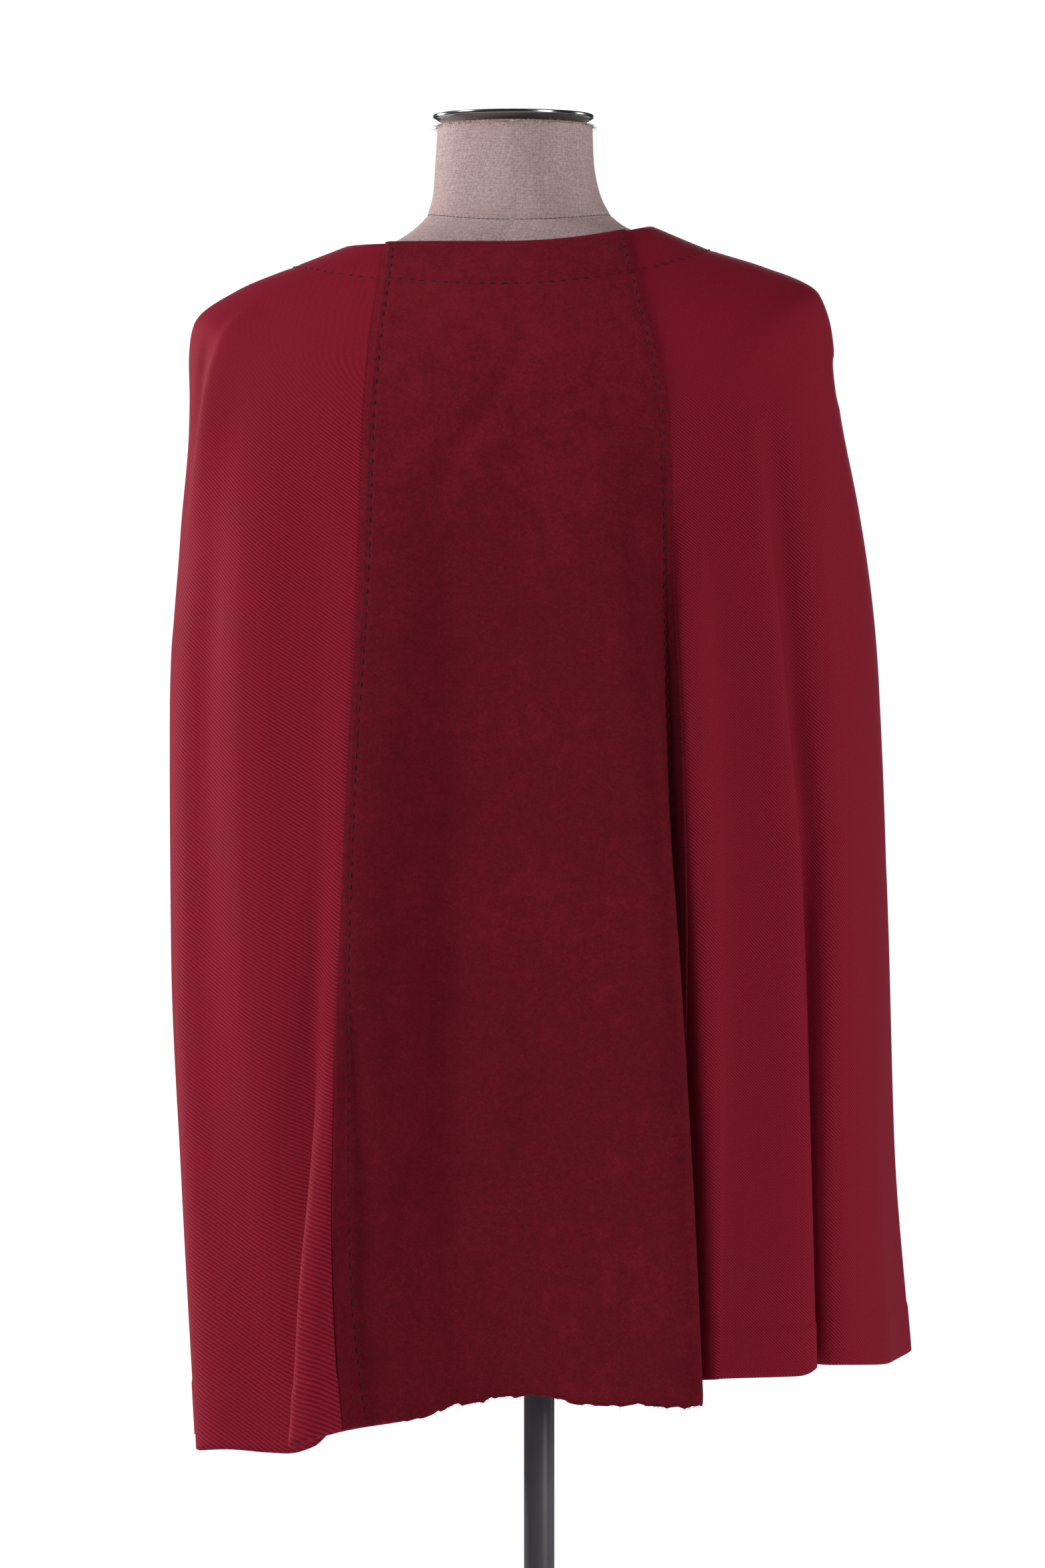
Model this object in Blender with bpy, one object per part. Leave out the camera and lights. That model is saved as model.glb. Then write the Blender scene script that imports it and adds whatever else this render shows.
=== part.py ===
"""Poncho of felted wool and wool twill, worn by a limbless dress form on a pole stand.

Metres, +Z up. The origin is the centre of the base's underside, on the pole's axis. The poncho's back
faces -Y, and +X is to the right of someone who looks at its back.
"""

from collections import namedtuple
import math

import bpy
import numpy as np

# Cloth
TWILL_THICKNESS = 0.0018
FELT_THICKNESS = 0.0024
SEAM_GAP = 0.0003
LAP_COLUMNS = 3
HEM_TURN = 0.037

# Sections of the poncho's smooth body, from the neck edge to the hem. Fall is the distance down the cloth
# from the neck edge. Left, right, back and front are where the section reaches in plan, the z columns are its
# height there, power is how square it is (2 is an ellipse), and the seam columns are the x of the lapped
# seams before the folds.
Section = namedtuple(
    "Section", "fall left right back front z_left z_right z_back z_front power seam_left seam_right"
)
PONCHO = (
    Section(0.000, -0.1340, 0.0780, -0.075, 0.084, 1.4130, 1.4275, 1.4125, 1.3850, 2.2, -0.1040, 0.0580),
    Section(0.037, -0.1690, 0.1170, -0.094, 0.102, 1.3995, 1.4115, 1.3830, 1.3560, 2.2, -0.1075, 0.0660),
    Section(0.075, -0.2075, 0.1550, -0.108, 0.116, 1.3835, 1.3995, 1.3450, 1.3230, 2.2, -0.1130, 0.0750),
    Section(0.112, -0.2365, 0.1925, -0.118, 0.128, 1.3610, 1.3820, 1.3070, 1.2880, 2.2, -0.1165, 0.0840),
    Section(0.145, -0.2415, 0.2005, -0.125, 0.137, 1.3300, 1.3480, 1.2750, 1.2600, 2.2, -0.1185, 0.0880),
    Section(0.190, -0.2425, 0.2050, -0.130, 0.144, 1.2870, 1.3030, 1.2350, 1.2250, 2.2, -0.1195, 0.0890),
    Section(0.260, -0.2480, 0.2165, -0.134, 0.149, 1.2180, 1.2320, 1.1750, 1.1700, 2.2, -0.1205, 0.0905),
    Section(0.380, -0.2540, 0.2290, -0.137, 0.151, 1.0980, 1.1140, 1.0700, 1.0620, 2.2, -0.1225, 0.0955),
    Section(0.540, -0.2520, 0.2350, -0.140, 0.153, 0.9300, 0.9520, 0.9180, 0.9100, 2.2, -0.1175, 0.0995),
    Section(0.700, -0.2430, 0.2370, -0.143, 0.155, 0.7600, 0.8000, 0.7780, 0.7660, 2.2, -0.1065, 0.0975),
    Section(0.860, -0.2320, 0.2460, -0.146, 0.158, 0.5900, 0.6540, 0.6350, 0.6200, 2.2, -0.0905, 0.0930),
)
HEM_FALL = PONCHO[-1].fall

# Folds that fall from the shoulders. Place counts panels round the cloth from the left back seam: 0 to 1 is
# the back centre panel, 1 to 2 the right side, 2 to 3 the front centre and 3 to 4 the left side. Width is
# along the cloth, depth is how far the crest stands out at the hem, lean is how far it slides sideways there,
# over its own foot where it is large, start is the fall at which it begins, late is above 1 where most of it
# comes near the hem, and drift is how far round its crest begins from its place, which it reaches at the hem.
Fold = namedtuple("Fold", "place width depth lean start late drift")
FOLDS = (
    Fold(3.966, 0.085, 0.038, -0.048, 0.20, 1.8, 0.026),
    Fold(0.08, 0.100, 0.008, 0.000, 0.15, 0.8, 0.000),
    Fold(0.743, 0.110, 0.0345, 0.051, 0.15, 0.5, -0.008),
    Fold(1.045, 0.100, 0.010, 0.000, 0.20, 0.8, 0.000),
    Fold(1.113, 0.062, 0.026, 0.029, 0.16, 0.6, 0.010),
    Fold(1.275, 0.150, 0.022, 0.004, 0.14, 0.8, 0.000),
    Fold(1.46, 0.110, 0.008, 0.010, 0.25, 1.0, 0.000),
    Fold(1.80, 0.095, 0.036, -0.044, 0.22, 1.3, 0.012),
    Fold(2.25, 0.110, 0.014, 0.000, 0.25, 1.0, 0.000),
    Fold(2.72, 0.095, 0.038, 0.044, 0.20, 1.1, -0.010),
    Fold(3.14, 0.110, 0.020, -0.018, 0.24, 1.0, 0.000),
    Fold(3.40, 0.100, 0.008, 0.008, 0.25, 1.0, 0.000),
    Fold(3.66, 0.095, 0.010, -0.010, 0.30, 1.0, 0.000),
)

# How much higher the hem is cut than the smooth body's last section, by place. It works in from HEM_CUT_START
# down.
HemCut = namedtuple("HemCut", "place rise")
HEM_CUTS = (
    HemCut(0.00, -0.0170),
    HemCut(0.05, -0.0140),
    HemCut(0.11, -0.0100),
    HemCut(0.17, -0.0060),
    HemCut(0.30, -0.0030),
    HemCut(0.45, 0.0000),
    HemCut(0.60, -0.0060),
    HemCut(0.90, -0.0060),
    HemCut(1.03, 0.0080),
    HemCut(1.10, 0.0080),
    HemCut(1.14, 0.0150),
    HemCut(1.21, 0.0090),
    HemCut(1.40, 0.0000),
    HemCut(1.55, 0.0030),
    HemCut(1.75, 0.0110),
    HemCut(1.90, 0.0120),
    HemCut(2.10, 0.0080),
    HemCut(2.50, 0.0080),
    HemCut(3.00, -0.0040),
    HemCut(3.40, 0.0020),
    HemCut(3.50, 0.0065),
    HemCut(3.57, -0.0010),
    HemCut(3.64, -0.0045),
    HemCut(3.70, -0.0075),
    HemCut(3.766, -0.0150),
    HemCut(3.82, -0.0195),
    HemCut(3.85, -0.0180),
    HemCut(3.885, -0.0100),
    HemCut(3.91, -0.0140),
    HemCut(3.95, -0.0250),
    HemCut(4.00, -0.0170),
)
HEM_CUT_START = 0.50

# The cloth's mesh: rows down to SHOULDER_FALL and below it, one more HEM_STEP under the top of the turned
# hem, and columns, which BEND_WEIGHT draws together where the cloth bends.
SHOULDER_FALL = 0.19
SHOULDER_ROWS = 10
HANGING_ROWS = 11
HEM_STEP = 0.002
CENTRE_COLUMNS = 20
SIDE_COLUMNS = 36
BEND_WEIGHT = 0.05
PLACE_SAMPLES = 400
RING_SAMPLES = 1440
NORMAL_STEP = 0.0005

# Dress form: its sections from the neck's top down, those of its shoulders, which lie under the poncho's at
# these falls and clearances, and those of the torso down to its flat underside.
FormSection = namedtuple("FormSection", "left right back front z_left z_right power")
NECK = (
    FormSection(-0.0700, 0.0368, -0.056, 0.056, 1.4992, 1.4992, 2.0),
    FormSection(-0.0716, 0.0378, -0.056, 0.057, 1.4740, 1.4740, 2.0),
    FormSection(-0.0731, 0.0412, -0.057, 0.058, 1.4526, 1.4550, 2.0),
    FormSection(-0.0773, 0.0465, -0.059, 0.061, 1.4375, 1.4420, 2.0),
    FormSection(-0.0888, 0.0540, -0.062, 0.066, 1.4255, 1.4330, 2.0),
    FormSection(-0.1067, 0.0640, -0.066, 0.072, 1.4155, 1.4270, 2.1),
)
Seat = namedtuple("Seat", "fall clearance")
SHOULDER_SEATS = (
    Seat(0.010, 0.0030),
    Seat(0.037, 0.0009),
    Seat(0.075, 0.0008),
    Seat(0.105, 0.0020),
)
BACK_CLEARANCE = 0.004
TORSO = (
    FormSection(-0.2130, 0.1750, -0.100, 0.112, 1.3300, 1.3450, 2.3),
    FormSection(-0.1980, 0.1650, -0.106, 0.120, 1.2850, 1.2950, 2.4),
    FormSection(-0.1830, 0.1530, -0.108, 0.128, 1.2250, 1.2300, 2.4),
    FormSection(-0.1700, 0.1430, -0.104, 0.128, 1.1600, 1.1650, 2.3),
    FormSection(-0.1450, 0.1220, -0.092, 0.105, 1.0600, 1.0620, 2.2),
    FormSection(-0.1320, 0.1120, -0.088, 0.092, 0.9900, 0.9900, 2.2),
    FormSection(-0.1500, 0.1360, -0.104, 0.100, 0.9000, 0.9000, 2.2),
    FormSection(-0.1600, 0.1500, -0.112, 0.106, 0.8300, 0.8300, 2.2),
)
FORM_COLUMNS = 40

# Cap and stand
CAP_X = -0.0175
CAP_FOOT_RADIUS = 0.0482
CAP_RIM_RADIUS = 0.0558
CAP_FOOT_Z = 1.4995
CAP_RIM_Z = 1.5040
CAP_TOP_Z = 1.5066
POLE_RADIUS = 0.0105
BASE_RADIUS = 0.180
BASE_THICKNESS = 0.008
BASE_EDGE = 0.002
HUB_RADIUS = 0.024
HUB_TOP_Z = 0.045
ROUND_SIDES = 48
POLE_SIDES = 24


def clear_scene():
    """Removes every object of the startup scene."""
    for obj in list(bpy.data.objects):
        bpy.data.objects.remove(obj, do_unlink=True)


def make_material(name, colour, roughness, metallic=0.0):
    """A plain Principled material."""
    material = bpy.data.materials.new(name)
    material.use_nodes = True
    shader = material.node_tree.nodes["Principled BSDF"]
    shader.inputs["Base Color"].default_value = (*colour, 1.0)
    shader.inputs["Roughness"].default_value = roughness
    shader.inputs["Metallic"].default_value = metallic
    return material


def make_object(name, points, faces, material):
    """One mesh object at the origin."""
    mesh = bpy.data.meshes.new(name)
    corners = [tuple(map(float, point)) for point in points]
    mesh.from_pydata(corners, [], [tuple(map(int, face)) for face in faces])
    mesh.materials.append(material)
    mesh.update()
    obj = bpy.data.objects.new(name, mesh)
    bpy.context.scene.collection.objects.link(obj)
    return obj


def smooth_value(knots, values, at):
    """The values, at these places, of a cubic curve through the rows' values that never overshoots."""
    knots = np.asarray(knots, float)
    values = np.asarray(values, float)
    gaps = np.diff(knots)
    slopes = np.diff(values) / gaps
    bends = np.concatenate([slopes[:1], np.zeros(len(knots) - 2), slopes[-1:]])
    for i in range(1, len(knots) - 1):
        before, after = slopes[i - 1], slopes[i]
        if before * after > 0:
            bends[i] = 2 * before * after / (before + after)
    i = np.clip(np.searchsorted(knots, at, side="right") - 1, 0, len(gaps) - 1)
    t = (at - knots[i]) / gaps[i]
    start = (1 + 2 * t) * (1 - t) ** 2 * values[i] + t * (1 - t) ** 2 * gaps[i] * bends[i]
    end = t * t * (3 - 2 * t) * values[i + 1] + t * t * (t - 1) * gaps[i] * bends[i + 1]
    return start + end


def poncho_section(fall):
    """The poncho's section at any fall, between the rows of the table."""
    falls = [row.fall for row in PONCHO]
    return Section(*(smooth_value(falls, column, fall) for column in zip(*PONCHO)))


def section_points(section, angles, z_back, z_front):
    """Points of a closed section. Angle 0 is the centre back and a quarter turn is the right side."""
    side = np.sin(angles)
    back = np.cos(angles)
    bulge = 2 / section.power
    middle = (section.left + section.right) / 2
    reach = (section.right - section.left) / 2
    x = middle + reach * np.sign(side) * abs(side) ** bulge
    y = np.where(back > 0, section.back, section.front) * abs(back) ** bulge
    z_side = np.where(side > 0, section.z_right, section.z_left)
    z_end = np.where(back > 0, z_back, z_front)
    z = z_side * side**2 + z_end * back**2
    return np.stack([x, y, z], axis=1)


class Ring:
    """One ring of the smooth body, measured along its plan from the centre back towards the right side."""

    def __init__(self, fall):
        self.section = poncho_section(fall)
        angles = np.linspace(0, 2 * math.pi, RING_SAMPLES + 1)
        self.points = section_points(self.section, angles, self.section.z_back, self.section.z_front)
        steps = np.hypot(*np.diff(self.points[:, :2], axis=0).T)
        self.lengths = np.concatenate([[0], np.cumsum(steps)])
        self.girth = self.lengths[-1]
        self.seams = self.find_seams()

    def find_seams(self):
        """Where the seams lie: left back, right back, right front, left front, and left back again."""
        quarter = RING_SAMPLES // 4
        x = self.points[:, 0]
        right_half = slice(0, quarter + 1)
        left_half = slice(3 * quarter, RING_SAMPLES + 1)
        left_back = np.interp(self.section.seam_left, x[left_half], self.lengths[left_half]) - self.girth
        right_back = np.interp(self.section.seam_right, x[right_half], self.lengths[right_half])
        front = slice(quarter, 3 * quarter + 1)
        front_x = x[front][::-1]
        front_lengths = self.lengths[front][::-1]
        right_front = np.interp(self.section.seam_right, front_x, front_lengths)
        left_front = np.interp(self.section.seam_left, front_x, front_lengths)
        return np.array([left_back, right_back, right_front, left_front, left_back + self.girth])

    def station(self, place):
        """The distance round the ring of a place that is counted in panels, and goes on past 4 or below 0."""
        turns, rest = np.divmod(place, 4)
        return np.interp(rest, range(len(self.seams)), self.seams) + turns * self.girth

    def place(self, stations):
        """The place, counted in panels, of distances round the ring."""
        wrapped = np.mod(stations - self.seams[0], self.girth) + self.seams[0]
        return np.interp(wrapped, self.seams, range(len(self.seams)))

    def at(self, stations):
        """Points of the smooth ring at these distances."""
        wrapped = np.mod(stations, self.girth)
        return np.stack([np.interp(wrapped, self.lengths, column) for column in self.points.T], axis=1)

    def directions(self, station):
        """The level unit vectors along the ring and out of it at one distance."""
        before, after = self.at(np.array([station - NORMAL_STEP, station + NORMAL_STEP]))
        along = after - before
        along[2] = 0
        along /= np.linalg.norm(along)
        return along, np.array([along[1], -along[0], 0.0])


def fold_growth(fold, fall):
    """How much of a fold there is at this fall, from 0 where it starts to 1 at the hem."""
    return float(np.clip((fall - fold.start) / (HEM_FALL - fold.start), 0, 1)) ** fold.late


def cloth_points(ring, fall, stations):
    """Points of the folded cloth: each fold is a hump that stands out of the ring and leans along it."""
    points = ring.at(stations)
    for fold in FOLDS:
        growth = fold_growth(fold, fall)
        if growth == 0:
            continue
        crest = ring.station(fold.place) + fold.drift * (1 - growth)
        along, out = ring.directions(crest)
        away = np.mod(stations - crest + ring.girth / 2, ring.girth) - ring.girth / 2
        hump = np.where(abs(away) < fold.width / 2, np.cos(math.pi * away / fold.width) ** 2, 0)
        points = points + growth * hump[:, None] * (fold.depth * out + fold.lean * along)
    cut = float(np.clip((fall - HEM_CUT_START) / (HEM_FALL - HEM_CUT_START), 0, 1)) ** 2
    rows = np.array(HEM_CUTS)
    points[:, 2] += cut * smooth_value(rows[:, 0], rows[:, 1], ring.place(stations))
    return points


def cloth_row(fall, stations_of):
    """Points of one row of a panel and the cloth's outward normals there."""
    ring = Ring(fall)
    stations = stations_of(ring)
    points = cloth_points(ring, fall, stations)
    ahead = cloth_points(ring, fall, stations + NORMAL_STEP)
    behind = cloth_points(ring, fall, stations - NORMAL_STEP)
    above_fall = max(fall - NORMAL_STEP, 0)
    below_fall = min(fall + NORMAL_STEP, HEM_FALL)
    above_ring = Ring(above_fall)
    below_ring = Ring(below_fall)
    above = cloth_points(above_ring, above_fall, stations_of(above_ring))
    below = cloth_points(below_ring, below_fall, stations_of(below_ring))
    normals = np.cross(below - above, ahead - behind)
    return points, normals / np.linalg.norm(normals, axis=1)[:, None]


def cloth_falls():
    """The falls of the mesh's rows: close at the shoulders, wide below, and one at the hem's turn."""
    shoulders = np.linspace(0, SHOULDER_FALL, SHOULDER_ROWS)
    turn = HEM_FALL - HEM_TURN
    hanging = np.linspace(SHOULDER_FALL, turn, HANGING_ROWS + 1)[1:]
    return [*shoulders, *hanging, turn + HEM_STEP, HEM_FALL]


def panel_places(first, count):
    """Places across one panel, closer together where the hem bends sharply."""
    ring = Ring(HEM_FALL)
    fine = np.linspace(first, first + 1, PLACE_SAMPLES)
    points = cloth_points(ring, HEM_FALL, ring.station(fine))[:, :2]
    steps = np.diff(points, axis=0)
    headings = np.unwrap(np.arctan2(steps[:, 1], steps[:, 0]))
    turns = np.concatenate([[0], abs(np.diff(headings))])
    cost = np.concatenate([[0], np.cumsum(np.hypot(*steps.T) + BEND_WEIGHT * turns)])
    return np.interp(np.linspace(0, cost[-1], count + 1), cost, fine)


def make_wall(name, inner, outer, material):
    """A closed wall between two grids of points that have the same rows and columns."""
    rows, columns = inner.shape[:2]
    count = rows * columns

    def corner(row, column, side):
        return side * count + row * columns + column

    faces = []

    def add_quad(a, b, c, d):
        faces.extend([(a, b, c), (a, c, d)])

    for row in range(rows - 1):
        for column in range(columns - 1):
            here, beside = corner(row, column, 0), corner(row, column + 1, 0)
            below, across = corner(row + 1, column, 0), corner(row + 1, column + 1, 0)
            add_quad(here, beside, across, below)
            faces.append((here + count, across + count, beside + count))
            faces.append((here + count, below + count, across + count))
    last = rows - 1
    end = columns - 1
    for column in range(columns - 1):
        following = column + 1
        near, far = corner(0, column, 0), corner(0, column, 1)
        add_quad(near, far, corner(0, following, 1), corner(0, following, 0))
        near, far = corner(last, column, 0), corner(last, column, 1)
        add_quad(near, corner(last, following, 0), corner(last, following, 1), far)
    for row in range(rows - 1):
        following = row + 1
        near, far = corner(row, 0, 0), corner(row, 0, 1)
        add_quad(near, corner(following, 0, 0), corner(following, 0, 1), far)
        near, far = corner(row, end, 0), corner(row, end, 1)
        add_quad(near, far, corner(following, end, 1), corner(following, end, 0))
    points = np.concatenate([inner.reshape(-1, 3), outer.reshape(-1, 3)])
    return make_object(name, points, faces, material)


def make_centre_panel(name, first_place, material):
    """A felted panel, cut raw, that laps over both side panels along its seams."""
    places = panel_places(first_place, CENTRE_COLUMNS)
    lift = TWILL_THICKNESS + SEAM_GAP
    inner = []
    outer = []
    for fall in cloth_falls():
        points, normals = cloth_row(fall, lambda ring: ring.station(places))
        inner.append(points + lift * normals)
        outer.append(points + (lift + FELT_THICKNESS) * normals)
    return make_wall(name, np.array(inner), np.array(outer), material)


def make_side_panel(name, first_place, material):
    """A twill panel that goes over the shoulder, its edges under the centre panels, its hem turned up."""
    before = panel_places(first_place - 1, CENTRE_COLUMNS)[-1 - LAP_COLUMNS : -1]
    after = panel_places(first_place + 1, CENTRE_COLUMNS)[1 : 1 + LAP_COLUMNS]
    places = np.concatenate([before, panel_places(first_place, SIDE_COLUMNS), after])
    inner = []
    outer = []
    for fall in cloth_falls():
        points, normals = cloth_row(fall, lambda ring: ring.station(places))
        turned = TWILL_THICKNESS if fall > HEM_FALL - HEM_TURN else 0
        inner.append(points - turned * normals)
        outer.append(points + TWILL_THICKNESS * normals)
    return make_wall(name, np.array(inner), np.array(outer), material)


def loft(name, rings, material):
    """A closed solid through rings of equal point counts, with flat ends."""
    columns = len(rings[0])
    faces = [tuple(range(columns))[::-1]]
    for row in range(len(rings) - 1):
        for column in range(columns):
            following = (column + 1) % columns
            a, b = row * columns + column, row * columns + following
            c, d = b + columns, a + columns
            faces.extend([(a, b, c), (a, c, d)])
    last = (len(rings) - 1) * columns
    faces.append(tuple(range(last, last + columns)))
    return make_object(name, np.concatenate(rings), faces, material)


def shoulder_seat(fall, clearance, angles):
    """A ring of the dress form just under the poncho's shoulders, nearest to it at the shoulders' crests."""
    def smooth_body(at, turn):
        section = poncho_section(at)
        return section_points(section, turn, section.z_back, section.z_front)

    points = smooth_body(fall, angles)
    along = smooth_body(fall, angles + NORMAL_STEP) - smooth_body(fall, angles - NORMAL_STEP)
    down = smooth_body(fall + NORMAL_STEP, angles) - smooth_body(fall - NORMAL_STEP, angles)
    out = np.cross(down, along)
    out /= np.linalg.norm(out, axis=1)[:, None]
    room = clearance + BACK_CLEARANCE * np.cos(angles) ** 2
    return points - room[:, None] * out


def make_torso(material):
    """The dress form's neck and limbless torso in one solid, on the figure's own sections."""
    angles = np.arange(FORM_COLUMNS) * 2 * math.pi / FORM_COLUMNS + math.pi / FORM_COLUMNS
    rings = []
    for row in NECK:
        middle = (row.z_left + row.z_right) / 2
        rings.append(section_points(row, angles, middle, middle))
    for fall, clearance in SHOULDER_SEATS:
        rings.append(shoulder_seat(fall, clearance, angles))
    for row in TORSO:
        middle = (row.z_left + row.z_right) / 2
        rings.append(section_points(row, angles, middle, middle))
    return loft("form_torso", rings[::-1], material)


def round_solid(name, outline, centre_x, sides, material):
    """A turned solid: the outline's rows are radius and height, from the bottom up."""
    angles = np.arange(sides) * 2 * math.pi / sides
    rings = []
    for radius, z in outline:
        x = centre_x + radius * np.cos(angles)
        rings.append(np.stack([x, radius * np.sin(angles), np.full(sides, z)], axis=1))
    return loft(name, rings, material)


def make_cap(material):
    """The turned metal disc that closes the neck."""
    outline = (
        (CAP_FOOT_RADIUS, CAP_FOOT_Z),
        (CAP_RIM_RADIUS, CAP_RIM_Z),
        (CAP_RIM_RADIUS, CAP_TOP_Z),
    )
    return round_solid("form_neck_cap", outline, CAP_X, ROUND_SIDES, material)


def make_pole(material):
    """The stand's pole, from its hub to the torso's underside."""
    outline = (
        (POLE_RADIUS, HUB_TOP_Z + SEAM_GAP),
        (POLE_RADIUS, TORSO[-1].z_left - SEAM_GAP),
    )
    return round_solid("stand_pole", outline, 0.0, POLE_SIDES, material)


def make_hub(material):
    """The collar on the stand's foot that carries the pole."""
    outline = (
        (HUB_RADIUS, BASE_THICKNESS + SEAM_GAP),
        (HUB_RADIUS, HUB_TOP_Z),
    )
    return round_solid("stand_hub", outline, 0.0, ROUND_SIDES, material)


def make_base(material):
    """The stand's round foot."""
    outline = (
        (BASE_RADIUS, 0.0),
        (BASE_RADIUS, BASE_THICKNESS - BASE_EDGE),
        (BASE_RADIUS - BASE_EDGE, BASE_THICKNESS),
    )
    return round_solid("stand_base", outline, 0.0, ROUND_SIDES, material)


def main():
    """Builds every piece."""
    clear_scene()
    twill = make_material("wool_twill", (0.200, 0.011, 0.024), 0.80)
    felt = make_material("felted_wool", (0.120, 0.009, 0.016), 0.95)
    linen = make_material("linen_cover", (0.430, 0.330, 0.300), 0.90)
    metal = make_material("cap_metal", (0.050, 0.055, 0.065), 0.25, 1.0)
    paint = make_material("stand_paint", (0.020, 0.020, 0.032), 0.45)
    make_centre_panel("back_centre_panel", 0, felt)
    make_side_panel("side_panel_right", 1, twill)
    make_centre_panel("front_centre_panel", 2, felt)
    make_side_panel("side_panel_left", 3, twill)
    make_torso(linen)
    make_cap(metal)
    make_pole(paint)
    make_hub(paint)
    make_base(paint)


if __name__ == "__main__":
    main()
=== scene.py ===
"""Looks of a wine red wool poncho on a limbless dress form and its pole stand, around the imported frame.

Metres, +Z up, in the frame's own axes: the poncho's back faces -Y, and +X is to the right of someone who looks
at its back. Fall is the distance down the cloth from the neck edge. Place counts panels round the cloth from
the left back seam: 0 to 1 is the back centre panel, 1 to 2 the right side, 2 to 3 the front centre and 3 to 4
the left side.
"""

from __future__ import annotations

from dataclasses import dataclass, field
from enum import Enum
import logging
import math
from typing import Any, Callable, Iterable, Optional, Sequence, Union

import bmesh
import bpy
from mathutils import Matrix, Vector
import numpy as np

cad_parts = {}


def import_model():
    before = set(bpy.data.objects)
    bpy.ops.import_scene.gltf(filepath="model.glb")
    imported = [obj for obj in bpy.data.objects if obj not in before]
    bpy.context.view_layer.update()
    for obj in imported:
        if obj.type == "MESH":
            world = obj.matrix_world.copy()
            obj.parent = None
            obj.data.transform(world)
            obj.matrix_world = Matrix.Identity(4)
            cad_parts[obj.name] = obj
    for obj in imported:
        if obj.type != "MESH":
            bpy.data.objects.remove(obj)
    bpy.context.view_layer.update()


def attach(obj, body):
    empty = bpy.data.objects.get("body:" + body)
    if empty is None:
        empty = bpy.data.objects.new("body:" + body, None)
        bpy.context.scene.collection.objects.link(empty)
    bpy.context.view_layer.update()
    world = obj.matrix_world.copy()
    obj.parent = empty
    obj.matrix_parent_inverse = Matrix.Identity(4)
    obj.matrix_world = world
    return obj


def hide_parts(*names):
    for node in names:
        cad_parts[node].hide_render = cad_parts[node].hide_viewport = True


LOG = logging.getLogger("poncho")
NORMAL_STEP = 0.0005
LEVEL = 1e-5
TINY = 1e-12
EDGE_ROUNDNESS = 0.30
CREASE_FALLOFF = 2.0
STEEP = 0.8
CLOTH_UV = "cloth"
BODY = "root"

Colour = tuple[float, float, float]
Numbers = Union[float, np.ndarray]


class Side(Enum):
    """The side of the garment that a panel is on."""

    BACK = 0
    RIGHT = 1
    FRONT = 2
    LEFT = 3


# Shader maths


class Wire:
    """A socket's value in a material, with the arithmetic that shader expressions use."""

    def __init__(self, graph: Graph, socket: bpy.types.NodeSocket) -> None:
        """Keeps the material's graph and the socket that the value comes from."""
        self.graph = graph
        self.socket = socket

    def __add__(self, other: Value) -> Wire:
        """This value plus another."""
        return self.graph.maths("ADD", self, other)

    def __radd__(self, other: Value) -> Wire:
        """Another value plus this one."""
        return self.graph.maths("ADD", other, self)

    def __sub__(self, other: Value) -> Wire:
        """This value less another."""
        return self.graph.maths("SUBTRACT", self, other)

    def __rsub__(self, other: Value) -> Wire:
        """Another value less this one."""
        return self.graph.maths("SUBTRACT", other, self)

    def __mul__(self, other: Value) -> Wire:
        """This value times another."""
        return self.graph.maths("MULTIPLY", self, other)

    def __rmul__(self, other: Value) -> Wire:
        """Another value times this one."""
        return self.graph.maths("MULTIPLY", other, self)

    def __pow__(self, other: Value) -> Wire:
        """This value to a power."""
        return self.graph.maths("POWER", self, other)


Value = Union[Wire, float]


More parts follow.
